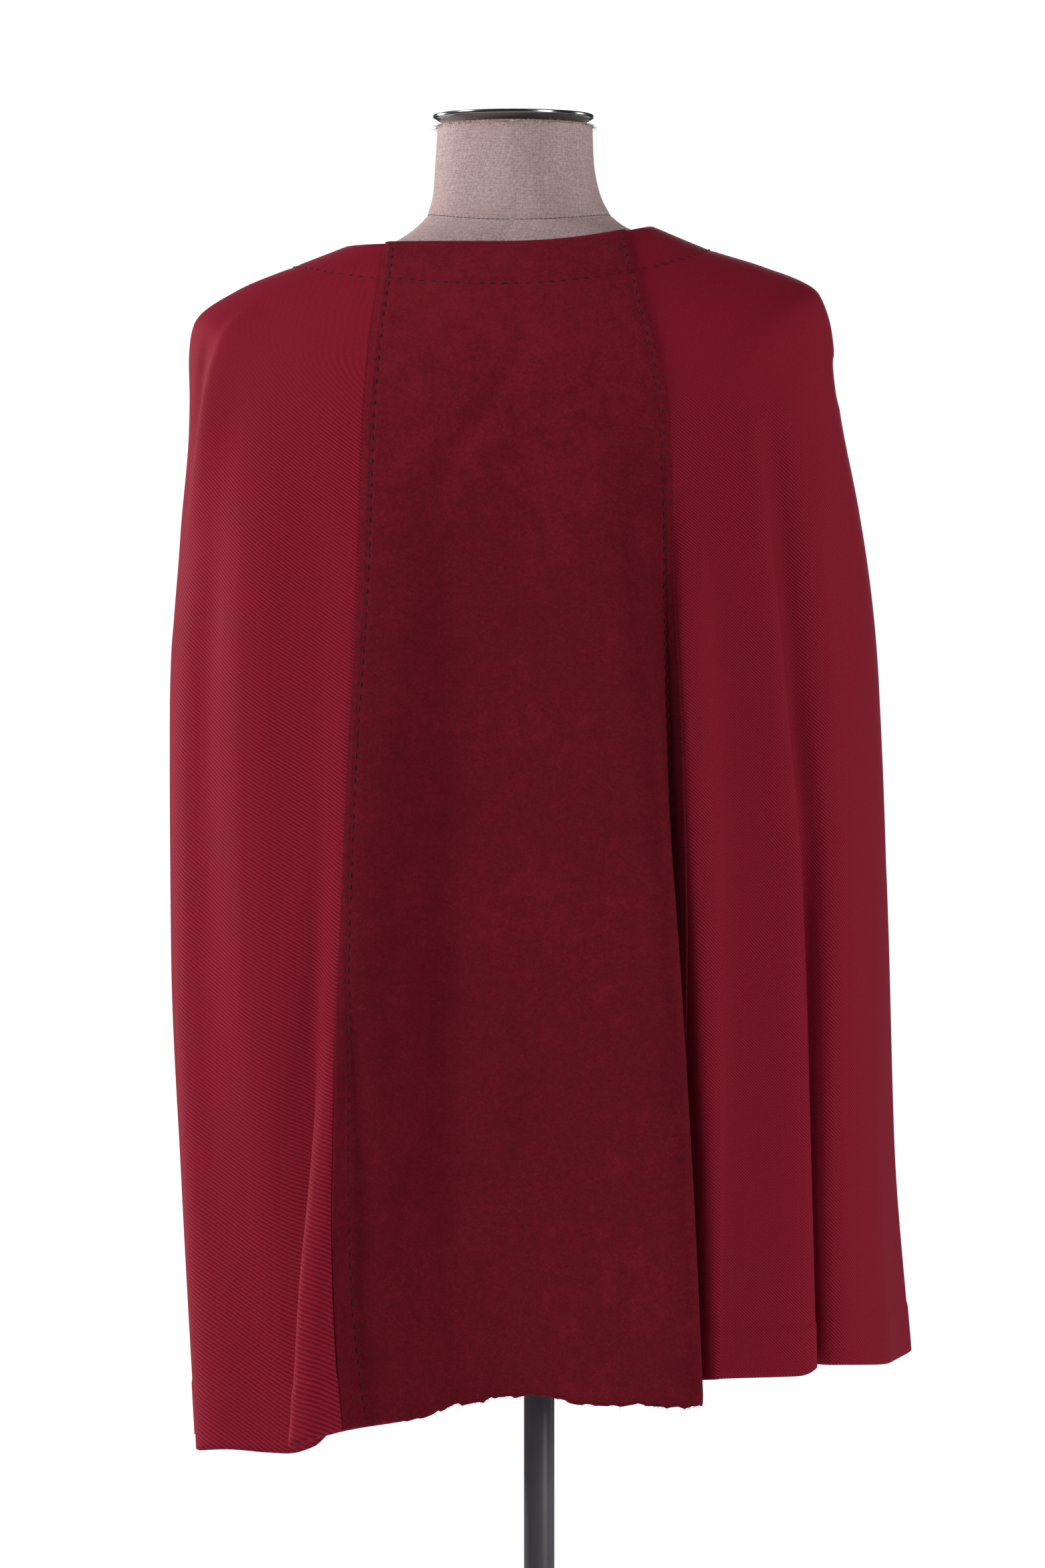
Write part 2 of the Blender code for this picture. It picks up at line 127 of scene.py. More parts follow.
class Graph:
    """The node tree of one material, which expressions build."""

    def __init__(self, name: str) -> None:
        """Makes an empty material.

        Args:
            name: the material's name.
        """
        self.material = bpy.data.materials.new(name)
        self.material.use_nodes = True
        self.tree = self.material.node_tree
        self.tree.nodes.clear()

    def node(
        self,
        kind: str,
        settings: Optional[dict[str, Any]] = None,
        inputs: Optional[dict[Union[str, int], Any]] = None,
        output: Union[str, int] = 0,
    ) -> Wire:
        """Adds one node.

        Args:
            kind: the node's type.
            settings: what is set on the node itself, before its sockets. "stops" are a ramp's.
            inputs: the values or links of its sockets, by name or number.
            output: the socket that the result is read from.

        Returns:
            The value of that output.
        """
        made = self.tree.nodes.new(kind)
        for key, value in (settings or {}).items():
            if key == "stops":
                self.set_stops(made.color_ramp, value)
            else:
                setattr(made, key, value)
        for key, value in (inputs or {}).items():
            if isinstance(value, Wire):
                self.tree.links.new(value.socket, made.inputs[key])
            else:
                made.inputs[key].default_value = value
        return Wire(self, made.outputs[output])

    def set_stops(self, ramp: bpy.types.ColorRamp, stops: Sequence[tuple[float, Colour]]) -> None:
        """Sets a colour ramp's stops.

        Args:
            ramp: the ramp.
            stops: the place and the colour of each stop.
        """
        while len(ramp.elements) < len(stops):
            ramp.elements.new(1.0)
        for element, (place, colour) in zip(ramp.elements, stops):
            element.position = place
            element.color = (*colour, 1.0)

    def maths(self, operation: str, *values: Value) -> Wire:
        """The result of one Math node on these values."""
        return self.node("ShaderNodeMath", {"operation": operation}, dict(enumerate(values)))

    def between(self, value: Value, low: float, high: float, smooth: bool = True) -> Wire:
        """Finds how far a value has come from low to high.

        Args:
            value: the value.
            low: where its way starts.
            high: where its way ends.
            smooth: whether the way eases in and out.

        Returns:
            The share of the way, from 0 to 1.
        """
        kind = "SMOOTHSTEP" if smooth else "LINEAR"
        settings = {"interpolation_type": kind, "clamp": True}
        return self.node("ShaderNodeMapRange", settings, {0: value, 1: low, 2: high, 3: 0.0, 4: 1.0})

    def place(self) -> Wire:
        """The point on the surface in the object's own coordinates, in metres."""
        return self.node("ShaderNodeTexCoord", output="Object")

    def cloth(self) -> Wire:
        """The point on the cloth as it was cut: metres across it and metres down it."""
        return self.node("ShaderNodeUVMap", {"uv_map": CLOTH_UV})

    def part(self, vector: Wire, axis: int) -> Wire:
        """One part of a vector."""
        return self.node("ShaderNodeSeparateXYZ", None, {0: vector}, axis)

    def vector(self, x: Value, y: Value, z: Value) -> Wire:
        """A vector of three values."""
        return self.node("ShaderNodeCombineXYZ", None, {0: x, 1: y, 2: z})

    def stretched(self, vector: Wire, turn: float, scale: tuple[float, float, float]) -> Wire:
        """Turns and stretches a vector, for patterns with a grain.

        Args:
            vector: the vector.
            turn: its turn about Z, in radians.
            scale: how long the pattern's features are on each axis.

        Returns:
            The turned and stretched vector.
        """
        settings = {"vector_type": "TEXTURE"}
        inputs = {"Vector": vector, "Rotation": (0.0, 0.0, turn), "Scale": scale}
        return self.node("ShaderNodeMapping", settings, inputs)

    def noise(self, vector: Wire, scale: float, detail: float = 2.0, roughness: float = 0.5) -> Wire:
        """Soft noise from 0 to 1, whose features are about a metre over scale wide."""
        inputs = {"Vector": vector, "Scale": scale, "Detail": detail, "Roughness": roughness}
        return self.node("ShaderNodeTexNoise", None, inputs)

    def mix(self, factor: Value, first: Union[Wire, Colour], second: Union[Wire, Colour]) -> Wire:
        """Mixes two colours.

        Args:
            factor: the share of the second.
            first: the colour at 0.
            second: the colour at 1.

        Returns:
            The mixed colour.
        """
        inputs: dict[Union[str, int], Any] = {0: factor}
        for socket, colour in ((6, first), (7, second)):
            inputs[socket] = colour if isinstance(colour, Wire) else (*colour, 1.0)
        return self.node("ShaderNodeMix", {"data_type": "RGBA"}, inputs, 2)

    def bump(self, height: Wire, distance: float, strength: float = 1.0) -> Wire:
        """The surface's normal over a relief of this height, in metres."""
        inputs = {"Height": height, "Distance": distance, "Strength": strength}
        return self.node("ShaderNodeBump", None, inputs)

    def finish(self, inputs: dict[Union[str, int], Any]) -> bpy.types.Material:
        """Adds the Principled shader with these inputs, and the output.

        Args:
            inputs: its sockets' values or links, by name.

        Returns:
            The finished material.
        """
        shader = self.node("ShaderNodeBsdfPrincipled", None, inputs)
        self.node_out(shader)
        return self.material

    def node_out(self, shader: Wire) -> None:
        """Links a shader to the material's output."""
        made = self.tree.nodes.new("ShaderNodeOutputMaterial")
        self.tree.links.new(shader.socket, made.inputs["Surface"])


# Finishes


@dataclass(frozen=True)
class TwillFinish:
    """Wool twill: fine ribs on the diagonal with painted shade in their grooves, a soft nap and a pale sheen
    where it turns away.
    """

    name: str
    rib_angle: float
    rib_pitch: float
    crest: Colour = (0.370, 0.0160, 0.0410)
    # The groove colour is painted shade in the ribs' grooves.
    groove: Colour = (0.105, 0.0040, 0.0110)
    nap: float = 0.55
    # Between these two heights the ribs' painted shade and their relief fade out towards the shoulders' top.
    rib_fade_start: float = 1.265
    rib_fade_end: float = 1.350
    rib_waver: float = 5.0
    yarn_length: float = 0.0030
    yarn_width: float = 0.0007
    sheen: float = 0.09
    relief_height: float = 0.00020

    def build(self) -> bpy.types.Material:
        """Makes the material on the cloth's own map.

        Returns:
            The material.
        """
        graph = Graph(self.name)
        place = graph.place()
        cloth = graph.cloth()
        across, down = graph.part(cloth, 0), graph.part(cloth, 1)
        turn = 2 * math.pi / self.rib_pitch
        line = down * (math.cos(self.rib_angle) * turn) - across * (math.sin(self.rib_angle) * turn)
        drift = graph.noise(place, 35.0) * self.rib_waver
        rib = graph.maths("SINE", line + drift) * 0.5 + 0.5
        along = graph.stretched(cloth, self.rib_angle, (self.yarn_length, self.yarn_width, 1.0))
        yarn = graph.noise(along, 1.0, 3.0)
        fade = graph.between(graph.part(place, 2), self.rib_fade_start, self.rib_fade_end)
        depth = (1.0 - fade * 0.93) * (0.42 + graph.noise(place, 26.0) * 0.64)
        lift = (rib - 0.5) * depth + 0.5
        tone = lift * 0.90 + yarn * 0.50 - 0.20
        # Painted shade: the ribs' grooves are drawn in the darker groove colour.
        base = graph.mix(graph.between(tone, 0.0, 1.0, False), self.groove, self.crest)
        wide = graph.between(graph.noise(place, 7.0, 3.0), 0.30, 0.70)
        base = graph.mix(wide * 0.16, base, tuple(self.nap * c for c in self.crest))
        relief = lift * 0.75 + yarn * 0.35
        return graph.finish(
            {
                "Base Color": base,
                "Roughness": 0.80 - lift * 0.10,
                "Specular IOR Level": 0.05,
                "Sheen Weight": self.sheen,
                "Sheen Roughness": 0.30,
                "Sheen Tint": (1.0, 0.25, 0.42, 1.0),
                "Normal": graph.bump(relief, self.relief_height, 0.70),
            }
        )


@dataclass(frozen=True)
class FeltFinish:
    """Felted wool: matt, mottled, with short fibres lying every way, and painted light that makes it paler
    towards the shoulders.
    """

    name: str
    dark: Colour = (0.085, 0.0045, 0.0095)
    middle: Colour = (0.130, 0.0065, 0.0140)
    light: Colour = (0.200, 0.0110, 0.0230)
    # Painted light: between these two heights the felt is drawn paler towards the shoulders, as if lit from
    # above.
    painted_light_start: float = 1.120
    painted_light_end: float = 1.400
    fibre_scale: tuple[float, float, float] = (0.0060, 0.0006, 1.0)
    cross_scale: tuple[float, float, float] = (0.0050, 0.0005, 1.0)
    fibre_turn: float = 0.5
    cross_turn: float = -0.9
    sheen: float = 0.05
    relief_height: float = 0.0008

    def build(self) -> bpy.types.Material:
        """Makes the material on the piece's own coordinates and the cloth's map.

        Returns:
            The material.
        """
        graph = Graph(self.name)
        place = graph.place()
        cloth = graph.cloth()
        # Painted light: paler felt over the upper back and shoulders, by height.
        painted_light = graph.between(graph.part(place, 2), self.painted_light_start, self.painted_light_end)
        mottle = graph.noise(place, 480.0, 3.0, 0.65)
        cloud = graph.noise(place, 16.0, 3.0, 0.55)
        fibre = graph.noise(graph.stretched(cloth, self.fibre_turn, self.fibre_scale), 1.0, 3.0, 0.6)
        cross = graph.noise(graph.stretched(cloth, self.cross_turn, self.cross_scale), 1.0, 3.0, 0.6)
        hair = graph.maths("MAXIMUM", fibre, cross)
        patches = graph.noise(place, 75.0, 3.0, 0.6)
        tone = mottle * 0.55 + cloud * 0.22 + patches * 0.30 + hair * 0.95 + painted_light * 0.17 - 0.56
        ramp = graph.node(
            "ShaderNodeValToRGB",
            {"stops": ((0.22, self.dark), (0.50, self.middle), (0.80, self.light))},
            {0: tone},
        )
        pile = graph.noise(place, 520.0, 3.0, 0.7)
        relief = mottle * 0.55 + hair * 0.60 + pile * 0.45
        return graph.finish(
            {
                "Base Color": ramp,
                "Roughness": 0.96 - hair * 0.08,
                "Specular IOR Level": 0.06,
                "Sheen Weight": self.sheen,
                "Sheen Roughness": 0.45,
                "Sheen Tint": (1.0, 0.30, 0.40, 1.0),
                "Normal": graph.bump(relief, self.relief_height, 0.55),
            }
        )


@dataclass(frozen=True)
class FibreFinish:
    """Loose wool or linen fibres and sewing thread: one soft colour that varies a little."""

    name: str
    dark: Colour
    light: Colour
    roughness: float = 0.85

    def build(self) -> bpy.types.Material:
        """Makes the material on the piece's own coordinates.

        Returns:
            The material.
        """
        graph = Graph(self.name)
        tone = graph.between(graph.noise(graph.place(), 240.0, 2.0), 0.30, 0.70)
        colour = graph.mix(tone, self.dark, self.light)
        return graph.finish({"Base Color": colour, "Roughness": self.roughness})


@dataclass(frozen=True)
class LinenFinish:
    """Plain linen: a fine weave of slubby yarns, natural pinkish beige, a little soiled in patches."""

    name: str
    yarn_pitch: float = 0.00115
    pale: Colour = (0.700, 0.535, 0.520)
    shade: Colour = (0.350, 0.240, 0.230)
    soil: Colour = (0.470, 0.320, 0.300)
    slub_length: float = 0.0300
    slub_width: float = 0.0009
    yarn_waver: float = 4.0
    sheen: float = 0.15
    relief_height: float = 0.0005

    def build(self) -> bpy.types.Material:
        """Makes the material on the cover's own map.

        Returns:
            The material.
        """
        graph = Graph(self.name)
        place = graph.place()
        cloth = graph.cloth()
        across, down = graph.part(cloth, 0), graph.part(cloth, 1)
        turn = 2 * math.pi / self.yarn_pitch
        drift = graph.noise(place, 60.0) * self.yarn_waver
        warp = graph.maths("SINE", across * turn + drift) * 0.5 + 0.5
        weft = graph.maths("SINE", down * turn + drift) * 0.5 + 0.5
        weave = warp * weft
        level = graph.stretched(cloth, 0.0, (self.slub_length, self.slub_width, 1.0))
        upright = graph.stretched(cloth, 0.0, (self.slub_width, self.slub_length, 1.0))
        slub = (graph.noise(level, 1.0, 3.0) + graph.noise(upright, 1.0, 3.0)) * 0.5
        grain = graph.noise(place, 620.0, 2.0, 0.7)
        tone = slub * 0.90 + weave * 0.24 + grain * 1.05 - 0.66
        base = graph.mix(graph.between(tone, 0.10, 0.75, False), self.shade, self.pale)
        patch = graph.between(graph.noise(place, 22.0, 3.0), 0.42, 0.75)
        base = graph.mix(patch * 0.35, base, self.soil)
        relief = weave * 0.55 + slub * 0.65 + grain * 0.25
        return graph.finish(
            {
                "Base Color": base,
                "Roughness": 0.92 - weave * 0.06,
                "Specular IOR Level": 0.2,
                "Sheen Weight": self.sheen,
                "Normal": graph.bump(relief, self.relief_height, 0.6),
            }
        )


@dataclass(frozen=True)
class MetalFinish:
    """Turned metal, polished dark, with fine rings from the lathe."""

    name: str
    centre_x: float
    colour: Colour = (0.270, 0.275, 0.290)
    smudged: float = 0.6
    relief_height: float = 0.00003

    def build(self) -> bpy.types.Material:
        """Makes the material on the piece's own coordinates.

        Returns:
            The material.
        """
        graph = Graph(self.name)
        place = graph.place()
        x = graph.part(place, 0) - self.centre_x
        y = graph.part(place, 1)
        radius = graph.maths("SQRT", x * x + y * y)
        rings = graph.noise(graph.vector(radius, 0.0, graph.part(place, 2)), 2600.0, 2.0)
        smudge = graph.noise(place, 45.0, 3.0)
        tone = graph.between(smudge, 0.30, 0.75)
        base = graph.mix(tone * 0.30, self.colour, tuple(self.smudged * c for c in self.colour))
        return graph.finish(
            {
                "Base Color": base,
                "Metallic": 1.0,
                "Roughness": 0.11 + rings * 0.10 + tone * 0.06,
                "Normal": graph.bump(rings, self.relief_height, 0.4),
            }
        )


@dataclass(frozen=True)
class PaintFinish:
    """Dark grey satin paint on steel, with a faint orange peel and a little dust."""

    name: str
    colour: Colour = (0.0720, 0.0640, 0.0820)
    dust: Colour = (0.120, 0.112, 0.136)
    coat: float = 0.15
    relief_height: float = 0.00008

    def build(self) -> bpy.types.Material:
        """Makes the material on the piece's own coordinates.

        Returns:
            The material.
        """
        graph = Graph(self.name)
        place = graph.place()
        peel = graph.noise(place, 420.0, 2.0)
        cloud = graph.between(graph.noise(place, 18.0, 4.0, 0.6), 0.45, 0.80)
        return graph.finish(
            {
                "Base Color": graph.mix(cloud * 0.35, self.colour, self.dust),
                "Roughness": 0.36 + cloud * 0.14 + peel * 0.06,
                "Coat Weight": self.coat,
                "Normal": graph.bump(peel, self.relief_height, 0.35),
            }
        )


@dataclass(frozen=True)
class FloorFinish:
    """The plain pale floor under the stand."""

    name: str
    colour: Colour = (0.82, 0.82, 0.82)
    worn: float = 0.96

    def build(self) -> bpy.types.Material:
        """Makes the material on the floor's own coordinates.

        Returns:
            The material.
        """
        graph = Graph(self.name)
        grain = graph.noise(graph.place(), 3.0, 3.0)
        base = graph.mix(grain * 0.2, self.colour, tuple(self.worn * c for c in self.colour))
        return graph.finish({"Base Color": base, "Roughness": 0.85})


# The poncho's shape


@dataclass(frozen=True)
class Section:
    """One section of the poncho's smooth body: where it reaches in plan, its heights and its seams."""

    fall: float
    left: float
    right: float
    back: float
    front: float
    z_left: float
    z_right: float
    z_back: float
    z_front: float
    power: float
    seam_left: float
    seam_right: float

    def values(self) -> list[float]:
        """The section's numbers in order."""
        return list(self.__dict__.values())


@dataclass(frozen=True)
class Fold:
    """A fold that falls from the shoulders: a hump that stands out of the cloth and leans along it.

    It grows from the fall named start down to the hem, more slowly at first where late is large, and its crest
    drifts along the cloth by drift metres on the way.
    """

    place: float
    width: float
    depth: float
    lean: float
    start: float
    late: float
    drift: float


@dataclass(frozen=True)
class HemCut:
    """How much higher the hem is cut than the last section, at a place."""

    place: float
    rise: float


@dataclass(frozen=True)
class CreasePoint:
    """One point on the way of a soft crease.

    It gives where the point is, how wide the crease is there, how high or, below zero, how deep, and how many
    times wider it is on the side of the higher places.
    """

    fall: float
    place: float
    width: float
    height: float
    after: float = 1.0


Crease = tuple[CreasePoint, ...]


def way(*points: tuple[float, float, float, float], after: float = 1.0) -> Crease:
    """A crease's way, from rows of fall, place, width and height, and how much wider its far side is."""
    return tuple(CreasePoint(*point, after) for point in points)


SECTIONS = (
    Section(0.000, -0.1340, 0.0780, -0.075, 0.084, 1.4130, 1.4275, 1.4125, 1.3850, 2.2, -0.1040, 0.0580),
    Section(0.037, -0.1690, 0.1170, -0.094, 0.102, 1.3995, 1.4115, 1.3830, 1.3560, 2.2, -0.1075, 0.0660),
    Section(0.075, -0.2075, 0.1550, -0.108, 0.116, 1.3835, 1.3995, 1.3450, 1.3230, 2.2, -0.1130, 0.0750),
    Section(0.112, -0.2365, 0.1925, -0.118, 0.128, 1.3610, 1.3820, 1.3070, 1.2880, 2.2, -0.1165, 0.0840),
    Section(0.145, -0.2415, 0.2005, -0.125, 0.137, 1.3300, 1.3480, 1.2750, 1.2600, 2.2, -0.1185, 0.0880),
    Section(0.190, -0.2425, 0.2050, -0.130, 0.144, 1.2870, 1.3030, 1.2350, 1.2250, 2.2, -0.1195, 0.0890),
    Section(0.260, -0.2480, 0.2165, -0.134, 0.149, 1.2180, 1.2320, 1.1750, 1.1700, 2.2, -0.1205, 0.0905),
    Section(0.380, -0.2540, 0.2290, -0.137, 0.151, 1.0980, 1.1140, 1.0700, 1.0620, 2.2, -0.1225, 0.0955),
    Section(0.540, -0.2520, 0.2350, -0.140, 0.153, 0.9300, 0.9520, 0.9180, 0.9100, 2.2, -0.1175, 0.0995),
    Section(0.700, -0.2430, 0.2370, -0.143, 0.155, 0.7600, 0.8000, 0.7780, 0.7660, 2.2, -0.1065, 0.0975),
    Section(0.860, -0.2320, 0.2460, -0.146, 0.158, 0.5900, 0.6540, 0.6350, 0.6200, 2.2, -0.0905, 0.0930),
)
FOLDS = (
    Fold(3.966, 0.085, 0.038, -0.048, 0.20, 1.8, 0.026),
    Fold(0.08, 0.100, 0.008, 0.000, 0.15, 0.8, 0.000),
    Fold(0.743, 0.110, 0.0345, 0.051, 0.15, 0.5, -0.008),
    Fold(1.045, 0.100, 0.010, 0.000, 0.20, 0.8, 0.000),
    Fold(1.113, 0.062, 0.026, 0.029, 0.16, 0.6, 0.010),
    Fold(1.275, 0.150, 0.022, 0.004, 0.14, 0.8, 0.000),
    Fold(1.46, 0.110, 0.008, 0.010, 0.25, 1.0, 0.000),
    Fold(1.80, 0.095, 0.036, -0.044, 0.22, 1.3, 0.012),
    Fold(2.25, 0.110, 0.014, 0.000, 0.25, 1.0, 0.000),
    Fold(2.72, 0.095, 0.038, 0.044, 0.20, 1.1, -0.010),
    Fold(3.14, 0.110, 0.020, -0.018, 0.24, 1.0, 0.000),
    Fold(3.40, 0.100, 0.008, 0.008, 0.25, 1.0, 0.000),
    Fold(3.66, 0.095, 0.010, -0.010, 0.30, 1.0, 0.000),
)
HEM_CUTS = (
    HemCut(0.00, -0.0170),
    HemCut(0.05, -0.0140),
    HemCut(0.11, -0.0100),
    HemCut(0.17, -0.0060),
    HemCut(0.30, -0.0030),
    HemCut(0.45, 0.0000),
    HemCut(0.60, -0.0060),
    HemCut(0.90, -0.0060),
    HemCut(1.03, 0.0080),
    HemCut(1.10, 0.0080),
    HemCut(1.14, 0.0150),
    HemCut(1.21, 0.0090),
    HemCut(1.40, 0.0000),
    HemCut(1.55, 0.0030),
    HemCut(1.75, 0.0110),
    HemCut(1.90, 0.0120),
    HemCut(2.10, 0.0080),
    HemCut(2.50, 0.0080),
    HemCut(3.00, -0.0040),
    HemCut(3.40, 0.0020),
    HemCut(3.50, 0.0065),
    HemCut(3.57, -0.0010),
    HemCut(3.64, -0.0045),
    HemCut(3.70, -0.0075),
    HemCut(3.766, -0.0150),
    HemCut(3.82, -0.0195),
    HemCut(3.85, -0.0180),
    HemCut(3.885, -0.0100),
    HemCut(3.91, -0.0140),
    HemCut(3.95, -0.0250),
    HemCut(4.00, -0.0170),
)
CREASES: tuple[Crease, ...] = (
    # Left side, seen from behind: a flatter shoulder end, a broad soft ridge, the shoulder's short crease with
    # its dip, a long dip near the edge, and the sharper crest of the big fold.
    way(
        (0.120, 3.500, 0.060, 0.0), (0.170, 3.500, 0.070, -0.0028), (0.250, 3.500, 0.070, -0.0026),
        (0.340, 3.500, 0.060, 0.0),
    ),
    way(
        (0.12, 3.800, 0.030, 0.0), (0.20, 3.812, 0.034, 0.0040), (0.35, 3.815, 0.036, 0.0070),
        (0.55, 3.812, 0.036, 0.0055), (0.70, 3.812, 0.034, 0.0015), (0.80, 3.812, 0.034, 0.0),
    ),
    way(
        (0.080, 3.702, 0.009, 0.0), (0.120, 3.694, 0.010, 0.0040), (0.165, 3.674, 0.010, 0.0066),
        (0.205, 3.650, 0.010, 0.0044), (0.270, 3.622, 0.010, 0.0),
        after=2.5,
    ),
    way(
        (0.110, 3.648, 0.009, 0.0), (0.140, 3.638, 0.010, -0.0022), (0.170, 3.624, 0.010, -0.0020),
        (0.210, 3.600, 0.010, 0.0),
    ),
    way(
        (0.22, 3.715, 0.020, 0.0), (0.32, 3.705, 0.024, -0.0030), (0.55, 3.700, 0.026, -0.0034),
        (0.70, 3.700, 0.024, -0.0020), (0.80, 3.700, 0.024, 0.0),
    ),
    way(
        (0.540, -0.035, 0.012, 0.0), (0.608, -0.052, 0.014, 0.0030), (0.704, -0.045, 0.014, 0.0046),
        (0.764, -0.034, 0.014, 0.0052), (0.812, -0.026, 0.014, 0.0052), (0.862, -0.024, 0.014, 0.0044),
    ),
    # Back centre: a dent beside the left seam, a low ridge, the slanting trough and the broad shade.
    way(
        (0.540, 0.050, 0.012, 0.0), (0.608, 0.046, 0.010, -0.0060), (0.704, 0.044, 0.010, -0.0100),
        (0.776, 0.034, 0.010, -0.0110), (0.862, 0.024, 0.010, -0.0100),
    ),
    way(
        (0.40, 0.350, 0.018, 0.0), (0.53, 0.320, 0.018, 0.0020), (0.79, 0.290, 0.018, 0.0024),
        (0.86, 0.280, 0.018, 0.0018),
    ),
    way(
        (0.06, 0.580, 0.014, 0.0), (0.09, 0.512, 0.016, -0.0020), (0.146, 0.325, 0.018, -0.0028),
        (0.195, 0.220, 0.018, -0.0016), (0.23, 0.180, 0.018, 0.0),
    ),
    way(
        (0.150, 0.330, 0.030, 0.0), (0.212, 0.300, 0.034, -0.0045), (0.344, 0.300, 0.036, -0.0085),
        (0.416, 0.270, 0.034, -0.0095), (0.512, 0.220, 0.030, -0.0110), (0.608, 0.195, 0.028, -0.0120),
        (0.716, 0.172, 0.028, -0.0120), (0.788, 0.180, 0.028, -0.0110), (0.862, 0.200, 0.028, -0.0090),
        after=2.0,
    ),
    # Right side, seen from behind: a trough and a ridge above the second fold, a fuller edge, the shoulder's
    # notched end, and the steep ridges just beyond the edges of the two big folds.
    way(
        (0.150, 1.186, 0.018, 0.0), (0.224, 1.188, 0.020, -0.0036), (0.296, 1.186, 0.020, -0.0050),
        (0.368, 1.180, 0.020, -0.0050), (0.470, 1.180, 0.018, 0.0),
    ),
    way(
        (0.150, 1.230, 0.018, 0.0), (0.224, 1.232, 0.020, 0.0032), (0.296, 1.230, 0.020, 0.0042),
        (0.368, 1.224, 0.020, 0.0042), (0.470, 1.226, 0.018, 0.0),
        after=2.0,
    ),
    way(
        (0.130, 1.500, 0.060, 0.0), (0.190, 1.500, 0.070, 0.0006), (0.300, 1.500, 0.070, 0.0032),
        (0.400, 1.500, 0.060, 0.0016), (0.500, 1.500, 0.060, 0.0),
    ),
    way(
        (0.085, 1.485, 0.022, 0.0), (0.112, 1.485, 0.022, -0.0010), (0.136, 1.480, 0.022, 0.0008),
        (0.150, 1.472, 0.018, 0.0004), (0.163, 1.462, 0.016, -0.0036), (0.190, 1.460, 0.018, 0.0),
    ),
    way(
        (0.200, 1.025, 0.011, 0.0), (0.284, 1.012, 0.012, 0.0090), (0.356, 1.006, 0.012, 0.0130),
        (0.428, 1.006, 0.012, 0.0145), (0.524, 1.013, 0.012, 0.0155), (0.620, 1.023, 0.012, 0.0160),
        (0.728, 1.035, 0.012, 0.0160), (0.800, 1.042, 0.012, 0.0160), (0.862, 1.047, 0.012, 0.0150),
        after=3.0,
    ),
    way(
        (0.360, 1.225, 0.011, 0.0), (0.440, 1.225, 0.011, 0.0060), (0.536, 1.217, 0.011, 0.0140),
        (0.632, 1.213, 0.011, 0.0160), (0.740, 1.210, 0.011, 0.0165), (0.812, 1.209, 0.011, 0.0165),
        (0.862, 1.209, 0.011, 0.0155),
        after=3.0,
    ),
    # Right side towards the front.
    way(
        (0.13, 1.530, 0.014, 0.0), (0.22, 1.545, 0.018, -0.0036), (0.40, 1.570, 0.022, -0.0060),
        (0.62, 1.585, 0.022, -0.0054), (0.86, 1.590, 0.020, -0.0030),
    ),
    way(
        (0.10, 1.640, 0.012, 0.0), (0.17, 1.655, 0.016, 0.0034), (0.30, 1.675, 0.020, 0.0050),
        (0.50, 1.680, 0.021, 0.0046), (0.74, 1.685, 0.020, 0.0),
        after=1.4,
    ),
    way(
        (0.15, 1.940, 0.014, 0.0), (0.28, 1.925, 0.018, -0.0040), (0.50, 1.915, 0.020, -0.0056),
        (0.70, 1.925, 0.020, -0.0044), (0.86, 1.930, 0.018, -0.0030),
    ),
    # Front centre.
    way(
        (0.10, 2.480, 0.020, 0.0), (0.20, 2.460, 0.026, -0.0038), (0.42, 2.500, 0.030, -0.0070),
        (0.66, 2.520, 0.030, -0.0072), (0.86, 2.510, 0.028, -0.0060),
        after=1.3,
    ),
    way(
        (0.30, 2.120, 0.016, 0.0), (0.44, 2.130, 0.020, -0.0034), (0.68, 2.120, 0.021, -0.0052),
        (0.86, 2.110, 0.020, -0.0044),
    ),
    way(
        (0.06, 2.700, 0.014, 0.0), (0.10, 2.640, 0.016, -0.0020), (0.16, 2.540, 0.018, -0.0026),
        (0.24, 2.420, 0.018, 0.0),
    ),
    way(
        (0.36, 2.350, 0.018, 0.0), (0.52, 2.365, 0.020, 0.0036), (0.78, 2.370, 0.021, 0.0044),
        (0.86, 2.375, 0.021, 0.0036),
    ),
    # Left side towards the front.
    way(
        (0.12, 3.050, 0.014, 0.0), (0.24, 3.060, 0.017, -0.0036), (0.42, 3.045, 0.019, -0.0052),
        (0.66, 3.040, 0.019, -0.0040), (0.86, 3.035, 0.018, -0.0026),
    ),
    way(
        (0.11, 3.280, 0.014, 0.0), (0.20, 3.265, 0.018, -0.0038), (0.38, 3.270, 0.024, -0.0068),
        (0.60, 3.285, 0.024, -0.0066), (0.86, 3.295, 0.022, -0.0040),
        after=1.3,
    ),
    way(
        (0.09, 3.370, 0.012, 0.0), (0.14, 3.385, 0.016, 0.0034), (0.26, 3.380, 0.020, 0.0044),
        (0.44, 3.390, 0.022, 0.0040), (0.66, 3.400, 0.022, 0.0),
    ),
    way(
        (0.26, 3.520, 0.016, 0.0), (0.42, 3.530, 0.020, -0.0042), (0.65, 3.540, 0.022, -0.0056),
        (0.86, 3.545, 0.020, -0.0030),
    ),
)


